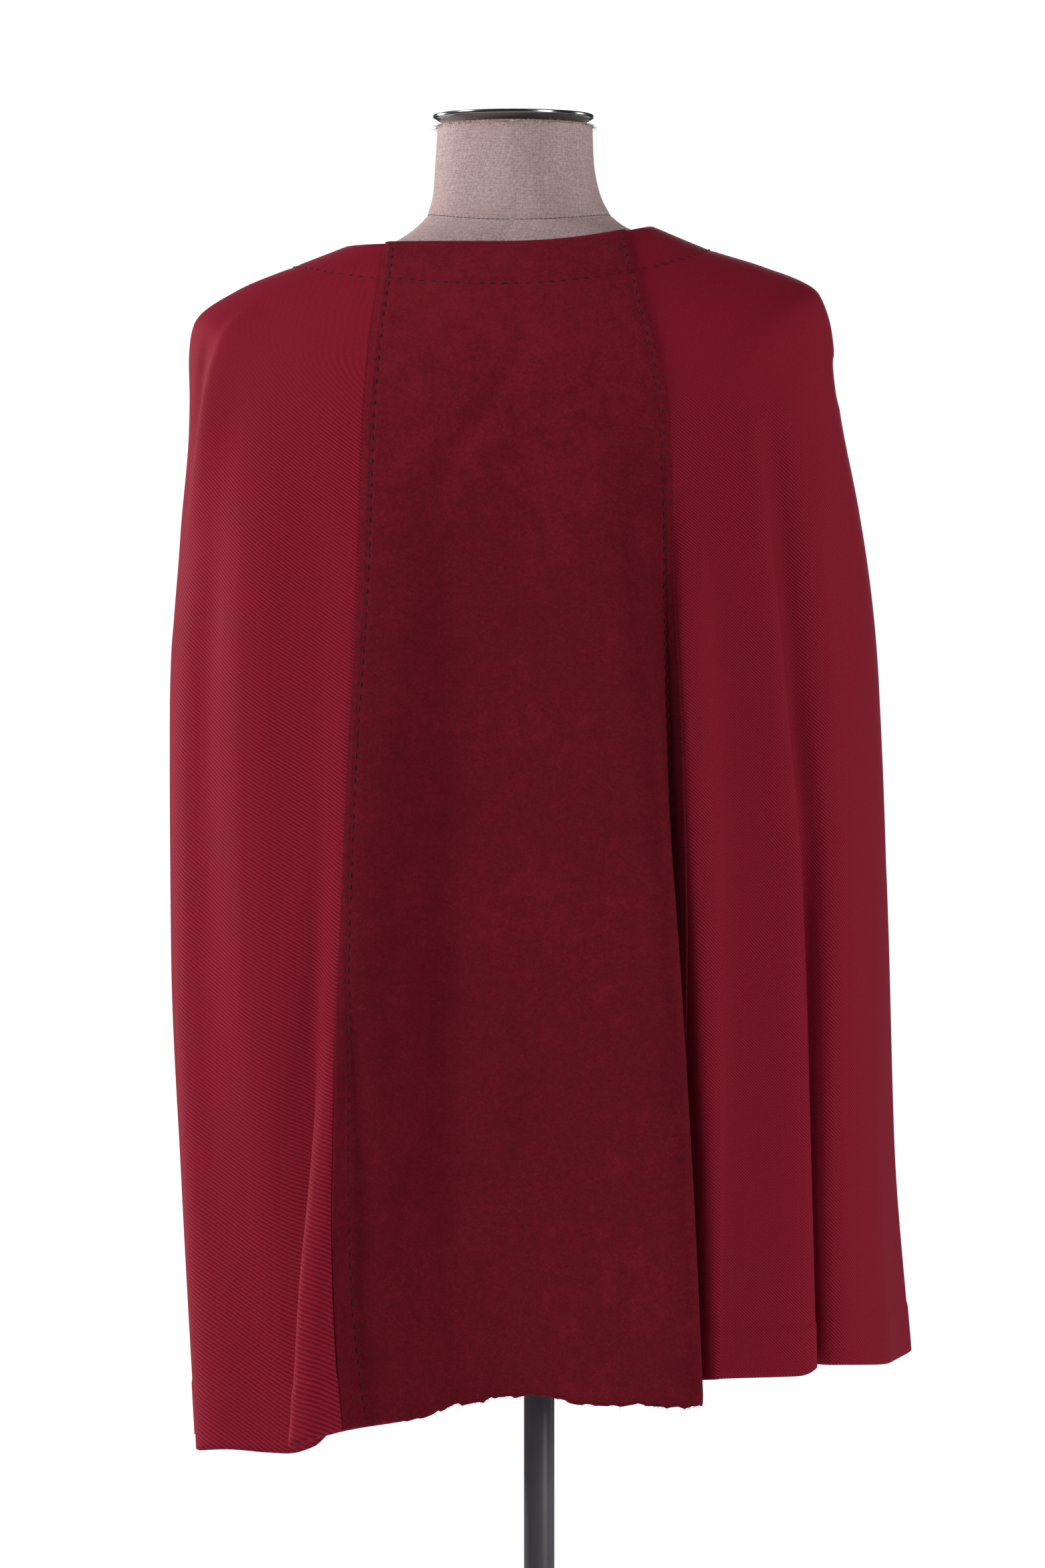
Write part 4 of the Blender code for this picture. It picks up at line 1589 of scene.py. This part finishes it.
@dataclass
class Poncho:
    """The poncho: two felted centre panels lapped over two twill sides, its sewing and its loose fibres."""

    drape: Drape = field(default_factory=Drape)
    twill_thickness: float = 0.0018
    felt_thickness: float = 0.0024
    seam_gap: float = 0.0003
    twill_columns: int = 200
    felt_columns: int = 120
    lap_columns: int = 14
    ragged: float = 0.0016
    panels: dict[Side, Panel] = field(default_factory=dict)

    def side_panel(
        self, side: Side, angle: float, pitch: float, flat: tuple[float, float], area: float
    ) -> Panel:
        """Plans a twill side panel.

        Args:
            side: its side.
            angle: how far below level its ribs run, in degrees.
            pitch: the ribs' pitch.
            flat: the width and length that it was cut to; kept on the panel but not used.
            area: the area of its cut; kept on the panel but not used.

        Returns:
            The panel, not yet built.
        """
        return Panel(
            drape=self.drape,
            name="side_cloth_" + side.name.lower(),
            side=side,
            thickness=self.twill_thickness,
            lift=0.0,
            columns=self.twill_columns,
            finish=TwillFinish("wool_twill_" + side.name.lower(), math.radians(angle), pitch),
            slot="wool_twill",
            flat=flat,
            area=area,
            lap_columns=self.lap_columns,
            turned=self.twill_thickness,
        )

    def centre_panel(self, side: Side, flat: tuple[float, float], area: float) -> Panel:
        """Plans a felted centre panel, cut raw.

        Args:
            side: its side.
            flat: the width and length that it was cut to; kept on the panel but not used.
            area: the area of its cut; kept on the panel but not used.

        Returns:
            The panel, not yet built.
        """
        return Panel(
            drape=self.drape,
            name=side.name.lower() + "_centre_cloth",
            side=side,
            thickness=self.felt_thickness,
            lift=self.twill_thickness + self.seam_gap,
            columns=self.felt_columns,
            finish=FeltFinish("felted_wool_" + side.name.lower()),
            slot="felted_wool",
            flat=flat,
            area=area,
            ragged=self.ragged,
        )

    def build(self) -> None:
        """Builds the panels, the stitching and the frayed edges."""
        self.panels = {
            Side.BACK: self.centre_panel(Side.BACK, (0.297, 0.820), 0.197),
            Side.RIGHT: self.side_panel(Side.RIGHT, 50.0, 0.0016, (0.672, 0.893), 0.452),
            Side.FRONT: self.centre_panel(Side.FRONT, (0.264, 0.807), 0.177),
            Side.LEFT: self.side_panel(Side.LEFT, 26.0, 0.0024, (0.594, 0.925), 0.418),
        }
        objects = {side: panel.build() for side, panel in self.panels.items()}
        thread = FibreFinish("dark_thread", (0.012, 0.005, 0.007), (0.030, 0.012, 0.016))
        stitching = Stitching(self.drape, self.panels, thread).build()
        loose = FibreFinish("loose_wool", (0.140, 0.006, 0.014), (0.420, 0.020, 0.040))
        for side, seed in ((Side.BACK, 11), (Side.FRONT, 23)):
            fibres = Fray(self.panels[side], loose, side.name.lower() + "_fray", seed=seed).build()


# The dress form and its stand


@dataclass(frozen=True)
class FormSection:
    """One level section of the dress form."""

    left: float
    right: float
    back: float
    front: float
    z_left: float
    z_right: float
    power: float

    def ring(self, angles: np.ndarray) -> np.ndarray:
        """Finds the section's points at these angles."""
        middle = (self.z_left + self.z_right) / 2
        return section_points(self, angles, middle, middle)


@dataclass
class DressForm:
    """The limbless dress form: its linen-covered neck and torso, with the neck's sewn seam and frayed top."""

    drape: Drape
    columns: int = 144
    neck_rows: int = 44
    rows: int = 96
    seam_z: float = 1.4370
    seam_dip: float = 0.0065
    seam_depth: float = 0.0010
    seam_width: float = 0.0013
    back_clearance: float = 0.004
    neck: tuple[FormSection, ...] = (
        FormSection(-0.0700, 0.0368, -0.056, 0.056, 1.4992, 1.4992, 2.0),
        FormSection(-0.0716, 0.0378, -0.056, 0.057, 1.4740, 1.4740, 2.0),
        FormSection(-0.0731, 0.0412, -0.057, 0.058, 1.4526, 1.4550, 2.0),
        FormSection(-0.0773, 0.0465, -0.059, 0.061, 1.4375, 1.4420, 2.0),
        FormSection(-0.0888, 0.0540, -0.062, 0.066, 1.4255, 1.4330, 2.0),
        FormSection(-0.1067, 0.0640, -0.066, 0.072, 1.4155, 1.4270, 2.1),
    )
    seats: tuple[tuple[float, float], ...] = (
        (0.010, 0.0030),
        (0.037, 0.0009),
        (0.075, 0.0008),
        (0.105, 0.0020),
    )
    torso: tuple[FormSection, ...] = (
        FormSection(-0.2130, 0.1750, -0.100, 0.112, 1.3300, 1.3450, 2.3),
        FormSection(-0.1980, 0.1650, -0.106, 0.120, 1.2850, 1.2950, 2.4),
        FormSection(-0.1830, 0.1530, -0.108, 0.128, 1.2250, 1.2300, 2.4),
        FormSection(-0.1700, 0.1430, -0.104, 0.128, 1.1600, 1.1650, 2.3),
        FormSection(-0.1450, 0.1220, -0.092, 0.105, 1.0600, 1.0620, 2.2),
        FormSection(-0.1320, 0.1120, -0.088, 0.092, 0.9900, 0.9900, 2.2),
        FormSection(-0.1500, 0.1360, -0.104, 0.100, 0.9000, 0.9000, 2.2),
        FormSection(-0.1600, 0.1500, -0.112, 0.106, 0.8300, 0.8300, 2.2),
    )
    stitch_pitch: float = 0.0034
    stitch_length: float = 0.0029
    fray_count: int = 520
    fray_seed: int = 31
    fray_depth: float = 0.0015
    fray_shortest: float = 0.0008
    fray_longest: float = 0.0032
    fray_rise: float = 0.0004

    STITCH_RADII = np.array([0.00016, 0.00030, 0.00030, 0.00016])
    STITCH_SIDES = 5
    FRAY_RADII = np.array([0.00016, 0.00014, 0.00011, 0.00005])
    FRAY_STEPS = (0.0, 0.35, 0.7, 1.0)
    FRAY_SIDES = 3
    FRAY_OUTWARD = 0.7
    FRAY_SCATTER = 0.6
    FRAY_DROOP = np.array([0, 0, -0.2])

    def seat(self, fall: float, clearance: float, angles: np.ndarray) -> np.ndarray:
        """A ring of the form just under the poncho's shoulders.

        Args:
            fall: the fall of the poncho that it lies under.
            clearance: how far under it is at the shoulders' crests.
            angles: the angles of its points.

        Returns:
            The ring's points.
        """

        def body(at: float, turn: np.ndarray) -> np.ndarray:
            """Finds points of the poncho's smooth body at one fall."""
            section = self.drape.section(at)
            return section_points(section, turn, section.z_back, section.z_front)

        along = body(fall, angles + NORMAL_STEP) - body(fall, angles - NORMAL_STEP)
        down = body(fall + NORMAL_STEP, angles) - body(fall - NORMAL_STEP, angles)
        out = np.cross(down, along)
        out /= np.linalg.norm(out, axis=1)[:, None]
        room = clearance + self.back_clearance * np.cos(angles) ** 2
        return body(fall, angles) - room[:, None] * out

    def rings(self) -> np.ndarray:
        """Draws the form's rings from the neck's top down, on smooth curves through its sections.

        Returns:
            The rings' points.
        """
        angles = np.arange(self.columns) * 2 * math.pi / self.columns
        coarse = [section.ring(angles) for section in self.neck]
        coarse += [self.seat(fall, clearance, angles) for fall, clearance in self.seats]
        coarse += [section.ring(angles) for section in self.torso]
        grid = np.array(coarse)
        steps = np.linalg.norm(np.diff(grid, axis=0), axis=2).mean(axis=1)
        down = np.concatenate([[0], np.cumsum(steps)])
        neck_end = down[len(self.neck) - 1]
        wanted = np.concatenate(
            [
                np.linspace(0, neck_end, self.neck_rows, endpoint=False),
                np.linspace(neck_end, down[-1], self.rows),
            ]
        )
        columns = [
            [smooth_value(down, grid[:, column, axis], wanted) for axis in range(3)]
            for column in range(self.columns)
        ]
        return np.transpose(np.array(columns), (2, 0, 1))

    def build(self) -> None:
        """Builds the covered form, its neck seam's stitches and the cover's frayed top edge."""
        grid = self.rings()
        dip = self.seam_z - self.seam_dip * np.cos(np.arange(self.columns) * 2 * math.pi / self.columns) ** 2
        groove = np.exp(-(((grid[..., 2] - dip[None, :]) / self.seam_width) ** 2))
        outward = grid - grid.mean(axis=1, keepdims=True)
        outward[..., 2] = 0
        outward /= np.linalg.norm(outward, axis=2)[..., None]
        grid = grid - outward * (self.seam_depth * groove)[..., None]
        rows = len(grid)
        number = np.arange(rows * self.columns).reshape(rows, self.columns)
        beside = np.roll(number, -1, axis=1)
        quads = np.stack([number[:-1], number[1:], beside[1:], beside[:-1]], axis=-1).reshape(-1, 4)
        faces = quads.tolist() + [list(number[0]), list(number[-1, ::-1])]
        round_it = np.linalg.norm(np.diff(grid, axis=1, append=grid[:, :1]), axis=2)
        across = np.concatenate([np.zeros((rows, 1)), np.cumsum(round_it[:, :-1], axis=1)], axis=1)
        down = np.cumsum(np.linalg.norm(np.diff(grid, axis=0, prepend=grid[:1]), axis=2), axis=0)
        uv = np.stack([across, down], axis=2).reshape(-1, 2)
        linen = LinenFinish("linen_cover_weave").build()
        dress(make_mesh("form_cover", grid.reshape(-1, 3), faces, linen, uv), "linen_cover", "form_torso")
        self.sew_neck(grid, dip)
        self.fray_top(grid)

    def sew_neck(self, grid: np.ndarray, dip: np.ndarray) -> bpy.types.Object:
        """Sews the neck seam: a row of small dark stitches in its groove.

        Args:
            grid: the form's rings.
            dip: the seam's height at each column.

        Returns:
            The stitches' object.
        """
        line = []
        for column in range(self.columns):
            z = grid[::-1, column, 2]
            line.append([np.interp(dip[column], z, grid[::-1, column, axis]) for axis in range(3)])
        line = np.array(line + line[:1])
        lengths = np.concatenate([[0], np.cumsum(np.linalg.norm(np.diff(line, axis=0), axis=1))])
        starts = np.arange(0, lengths[-1] - self.stitch_length, self.stitch_pitch)
        shares = np.linspace(0, 1, len(self.STITCH_RADII))
        at = starts[:, None] + self.stitch_length * shares[None, :]
        paths = np.stack([np.interp(at, lengths, column) for column in line.T], axis=2)
        radii = np.tile(self.STITCH_RADII, (len(starts), 1))
        thread = FibreFinish("seam_thread", (0.030, 0.022, 0.024), (0.080, 0.060, 0.060)).build()
        stitches = make_tubes("neck_seam_stitches", paths, radii, self.STITCH_SIDES, thread)
        return dress(stitches, "linen_cover")

    def fray_top(self, grid: np.ndarray) -> bpy.types.Object:
        """Adds the loose threads of the cover's cut top edge, just under the cap.

        Args:
            grid: the form's rings.

        Returns:
            The threads' object.
        """
        random = np.random.default_rng(self.fray_seed)
        count = self.fray_count
        column = random.uniform(0, self.columns, count)
        low = column.astype(int) % self.columns
        share = (column % 1)[:, None]
        base = grid[0, low] * (1 - share) + grid[0, (low + 1) % self.columns] * share
        outward = base - grid[0].mean(axis=0)
        outward[:, 2] = 0
        outward /= np.linalg.norm(outward, axis=1)[:, None]
        start = base + np.array([0, 0, -1.0]) * random.uniform(0, self.fray_depth, count)[:, None]
        scatter = random.normal(0, self.FRAY_SCATTER, (count, 3))
        heading = outward * self.FRAY_OUTWARD + scatter + self.FRAY_DROOP
        long = random.uniform(self.fray_shortest, self.fray_longest, count)[:, None]
        paths = np.stack([start + heading * long * t for t in self.FRAY_STEPS], axis=1)
        paths[..., 2] = np.minimum(paths[..., 2], grid[0, 0, 2] + self.fray_rise)
        radii = np.tile(self.FRAY_RADII, (count, 1))
        linen = FibreFinish("linen_threads", (0.30, 0.235, 0.215), (0.62, 0.53, 0.50)).build()
        return dress(make_tubes("neck_cover_fray", paths, radii, self.FRAY_SIDES, linen), "linen_cover")


class Bench:
    """One new primitive in edit mode, shaped by picking its faces and edges by their place."""

    def __init__(self, name: str) -> None:
        """Takes the primitive that was just added.

        Args:
            name: the name that it gets.
        """
        self.obj = bpy.context.object
        self.obj.name = name
        self.obj.data.name = name
        bpy.ops.object.mode_set(mode="EDIT")

    def pick_faces(self, wanted: Callable[[Vector, Vector], bool]) -> None:
        """Selects the faces whose centre and normal pass the test, and nothing else."""
        self.select("FACE", lambda bm: [f for f in bm.faces if wanted(f.calc_center_median(), f.normal)])

    def pick_edges(self, wanted: Callable[[Vector, Vector], bool]) -> None:
        """Selects the edges whose two ends pass the test, and nothing else."""
        self.select("EDGE", lambda bm: [e for e in bm.edges if wanted(e.verts[0].co, e.verts[1].co)])

    def select(self, kind: str, find: Callable[[bmesh.types.BMesh], list]) -> None:
        """Selects what a search of the mesh finds, and nothing else.

        Args:
            kind: FACE or EDGE.
            find: the search, which gives the faces or edges.
        """
        bpy.ops.mesh.select_mode(type=kind)
        bpy.ops.mesh.select_all(action="DESELECT")
        bm = bmesh.from_edit_mesh(self.obj.data)
        for item in find(bm):
            item.select_set(True)
        bm.select_flush_mode()
        bmesh.update_edit_mesh(self.obj.data)

    def done(self, material: bpy.types.Material, smooth_angle: float = 35.0) -> bpy.types.Object:
        """Leaves edit mode, puts the piece's place into its mesh, and gives it its finish.

        Args:
            material: the piece's finish.
            smooth_angle: the sharpest turn that is still shaded smooth, in degrees.

        Returns:
            The finished object, at the origin.
        """
        bpy.ops.object.mode_set(mode="OBJECT")
        bpy.ops.object.transform_apply(location=True, rotation=True, scale=True)
        bpy.ops.object.shade_smooth_by_angle(angle=math.radians(smooth_angle))
        self.obj.data.materials.clear()
        self.obj.data.materials.append(material)
        self.obj.select_set(False)
        return self.obj


@dataclass
class Stand:
    """The cap on the form's neck, the pole, its hub and the round foot."""

    cap_x: float = -0.0175
    cap_foot_radius: float = 0.0482
    cap_rim_radius: float = 0.0558
    cap_foot_z: float = 1.4995
    cap_rim_z: float = 1.5040
    cap_top_z: float = 1.5066
    pole_radius: float = 0.0105
    pole_foot_z: float = 0.0453
    pole_top_z: float = 0.8297
    base_radius: float = 0.180
    base_thickness: float = 0.008
    hub_radius: float = 0.024
    hub_foot_z: float = 0.0083
    hub_top_z: float = 0.045
    cap_lip: float = 0.004
    cap_dish: float = 0.0005
    cap_crown: float = 0.030
    cap_crown_rise: float = 0.0003
    cap_ease: float = 0.0007
    pole_ease: float = 0.0006
    base_ease: float = 0.0030
    hub_ease: float = 0.0035
    sides: int = 128

    FACES_UP = 0.9
    RIM_MARGIN = 0.0002

    def cylinder(self, name: str, radius: float, low: float, high: float, x: float = 0.0) -> Bench:
        """Starts a piece from a cylinder.

        Args:
            name: the piece's name.
            radius: the cylinder's radius.
            low: the height of its foot.
            high: the height of its top.
            x: where its axis stands.

        Returns:
            The bench that holds it, in edit mode.
        """
        bpy.ops.object.select_all(action="DESELECT")
        bpy.ops.mesh.primitive_cylinder_add(
            vertices=self.sides, radius=radius, depth=high - low, location=(x, 0.0, (low + high) / 2)
        )
        return Bench(name)

    def build_cap(self) -> bpy.types.Object:
        """Builds the cap: a cone under a thin rounded rim, with a shallow dished top.

        Returns:
            The cap.
        """
        bench = self.cylinder("neck_cap", self.cap_foot_radius, self.cap_foot_z, self.cap_rim_z, self.cap_x)
        centre = (self.cap_x, 0.0, self.cap_rim_z)
        spread = self.cap_rim_radius / self.cap_foot_radius
        bench.pick_faces(lambda at, normal: normal.z > self.FACES_UP)
        bpy.ops.transform.resize(value=(spread, spread, 1.0), center_override=centre)
        rim = self.cap_top_z - self.cap_rim_z
        bpy.ops.mesh.extrude_region_move(TRANSFORM_OT_translate={"value": (0.0, 0.0, rim)})
        bpy.ops.mesh.inset(thickness=self.cap_lip)
        bpy.ops.transform.translate(value=(0.0, 0.0, -self.cap_dish))
        bpy.ops.mesh.inset(thickness=self.cap_crown)
        bpy.ops.transform.translate(value=(0.0, 0.0, self.cap_crown_rise))
        outer = self.cap_rim_radius - self.RIM_MARGIN
        bench.pick_edges(lambda a, b: min(a.xy.length, b.xy.length) > outer and abs(a.z - b.z) < LEVEL)
        bpy.ops.mesh.bevel(offset=self.cap_ease, segments=3, affect="EDGES")
        return dress(bench.done(MetalFinish("cap_polish", self.cap_x).build()), "cap_metal", "form_neck_cap")

    def build_pole(self, material: bpy.types.Material) -> bpy.types.Object:
        """Builds the pole, with its two ends eased.

        Args:
            material: the stand's paint.

        Returns:
            The pole.
        """
        bench = self.cylinder("pole", self.pole_radius, self.pole_foot_z, self.pole_top_z)
        bench.pick_edges(lambda a, b: abs(a.z - b.z) < LEVEL)
        bpy.ops.mesh.bevel(offset=self.pole_ease, segments=2, affect="EDGES")
        return dress(bench.done(material), "stand_paint", "stand_pole")

    def build_base(self, material: bpy.types.Material) -> bpy.types.Object:
        """Builds the round foot: a thin plate with a rounded upper edge.

        Args:
            material: the stand's paint.

        Returns:
            The foot.
        """
        bench = self.cylinder("base_plate", self.base_radius, 0.0, self.base_thickness)
        half = self.base_thickness / 2
        bench.pick_edges(lambda a, b: min(a.z, b.z) > half - LEVEL)
        bpy.ops.mesh.bevel(offset=self.base_ease, segments=4, affect="EDGES")
        return dress(bench.done(material), "stand_paint", "stand_base")

    def build_hub(self, material: bpy.types.Material) -> bpy.types.Object:
        """Builds the hub: a collar with a rounded top.

        Args:
            material: the stand's paint.

        Returns:
            The hub.
        """
        bench = self.cylinder("pole_hub", self.hub_radius, self.hub_foot_z, self.hub_top_z)
        half = (self.hub_top_z - self.hub_foot_z) / 2
        bench.pick_edges(lambda a, b: min(a.z, b.z) > half - LEVEL)
        bpy.ops.mesh.bevel(offset=self.hub_ease, segments=5, affect="EDGES")
        return dress(bench.done(material), "stand_paint", "stand_hub")

    def build(self) -> None:
        """Builds the cap, the pole, the hub and the foot."""
        self.build_cap()
        paint = PaintFinish("stand_satin").build()
        self.build_pole(paint)
        self.build_hub(paint)
        self.build_base(paint)


# The studio


@dataclass(frozen=True)
class Lamp:
    """A soft square light: where it stands, the length of its sides and its power in watts."""

    name: str
    at: tuple[float, float, float]
    size: float
    power: float


@dataclass
class Studio:
    """The plain pale floor, the soft lights, the white surround and the camera."""

    camera_at: tuple[float, float, float] = (-0.0115, -5.6, 1.045)
    frame_width: float = 0.72128
    sensor: float = 36.0
    floor_radius: float = 4.6
    floor_drop: float = 0.0003
    floor_sides: int = 96
    surround_light: float = 0.06
    surround_seen: float = 1.02
    aim: tuple[float, float, float] = (0.0, 0.0, 1.05)
    lamps: tuple[Lamp, ...] = (
        Lamp("key", (-3.9, -1.0, 3.2), 1.2, 161.0),
        Lamp("fill", (3.3, -3.2, 1.9), 1.2, 95.0),
        Lamp("front_soft", (0.4, 4.5, 2.2), 2.0, 80.0),
        Lamp("rim_left", (-3.2, 2.4, 1.7), 1.0, 68.0),
        Lamp("rim_right", (4.0, 1.4, 1.6), 1.2, 20.0),
    )

    def add_camera(self) -> None:
        """Sets the camera level, square on to the poncho's back."""
        data = bpy.data.cameras.new("camera")
        data.sensor_fit = "HORIZONTAL"
        data.sensor_width = self.sensor
        data.lens = self.sensor * -self.camera_at[1] / self.frame_width
        camera = bpy.data.objects.new("camera", data)
        camera.location = self.camera_at
        camera.rotation_euler = (math.pi / 2, 0.0, 0.0)
        bpy.context.scene.collection.objects.link(camera)
        bpy.context.scene.camera = camera

    def add_light(self, lamp: Lamp) -> None:
        """Adds one soft square light that faces the poncho.

        Args:
            lamp: the light's place, size and power.
        """
        data = bpy.data.lights.new(lamp.name, "AREA")
        data.shape = "SQUARE"
        data.size = lamp.size
        data.energy = lamp.power
        light = bpy.data.objects.new(lamp.name, data)
        light.location = lamp.at
        light.rotation_euler = (Vector(self.aim) - Vector(lamp.at)).to_track_quat("-Z", "Y").to_euler()
        bpy.context.scene.collection.objects.link(light)

    def add_surround(self) -> None:
        """Sets a white surround that lights the cloth only softly."""
        world = bpy.data.worlds.new("surround")
        world.use_nodes = True
        tree = world.node_tree
        seen = tree.nodes.new("ShaderNodeLightPath")
        strength = tree.nodes.new("ShaderNodeMapRange")
        strength.inputs["To Min"].default_value = self.surround_light
        strength.inputs["To Max"].default_value = self.surround_seen
        tree.links.new(seen.outputs["Is Camera Ray"], strength.inputs["Value"])
        tree.links.new(strength.outputs["Result"], tree.nodes["Background"].inputs["Strength"])
        tree.nodes["Background"].inputs["Color"].default_value = (1.0, 1.0, 1.0, 1.0)
        bpy.context.scene.world = world

    def add_floor(self) -> None:
        """Adds the floor, just under the stand's foot."""
        bpy.ops.object.select_all(action="DESELECT")
        bpy.ops.mesh.primitive_circle_add(
            vertices=self.floor_sides,
            radius=self.floor_radius,
            fill_type="NGON",
            location=(0.0, 0.0, -self.floor_drop),
        )
        floor = bpy.context.object
        floor.name = "floor"
        floor.data.materials.append(FloorFinish("pale_floor").build())

    def build(self) -> None:
        """Sets the whole studio."""
        self.add_camera()
        for lamp in self.lamps:
            self.add_light(lamp)
        self.add_surround()
        self.add_floor()
        bpy.context.scene.view_settings.view_transform = "Standard"


def main() -> None:
    """Loads the frame and builds each sub-assembly in order."""
    logging.basicConfig(level=logging.INFO, format="%(message)s")
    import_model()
    Studio().build()
    drape = Drape()
    DressForm(drape).build()
    Stand().build()
    Poncho(drape).build()


if __name__ == "__main__":
    main()
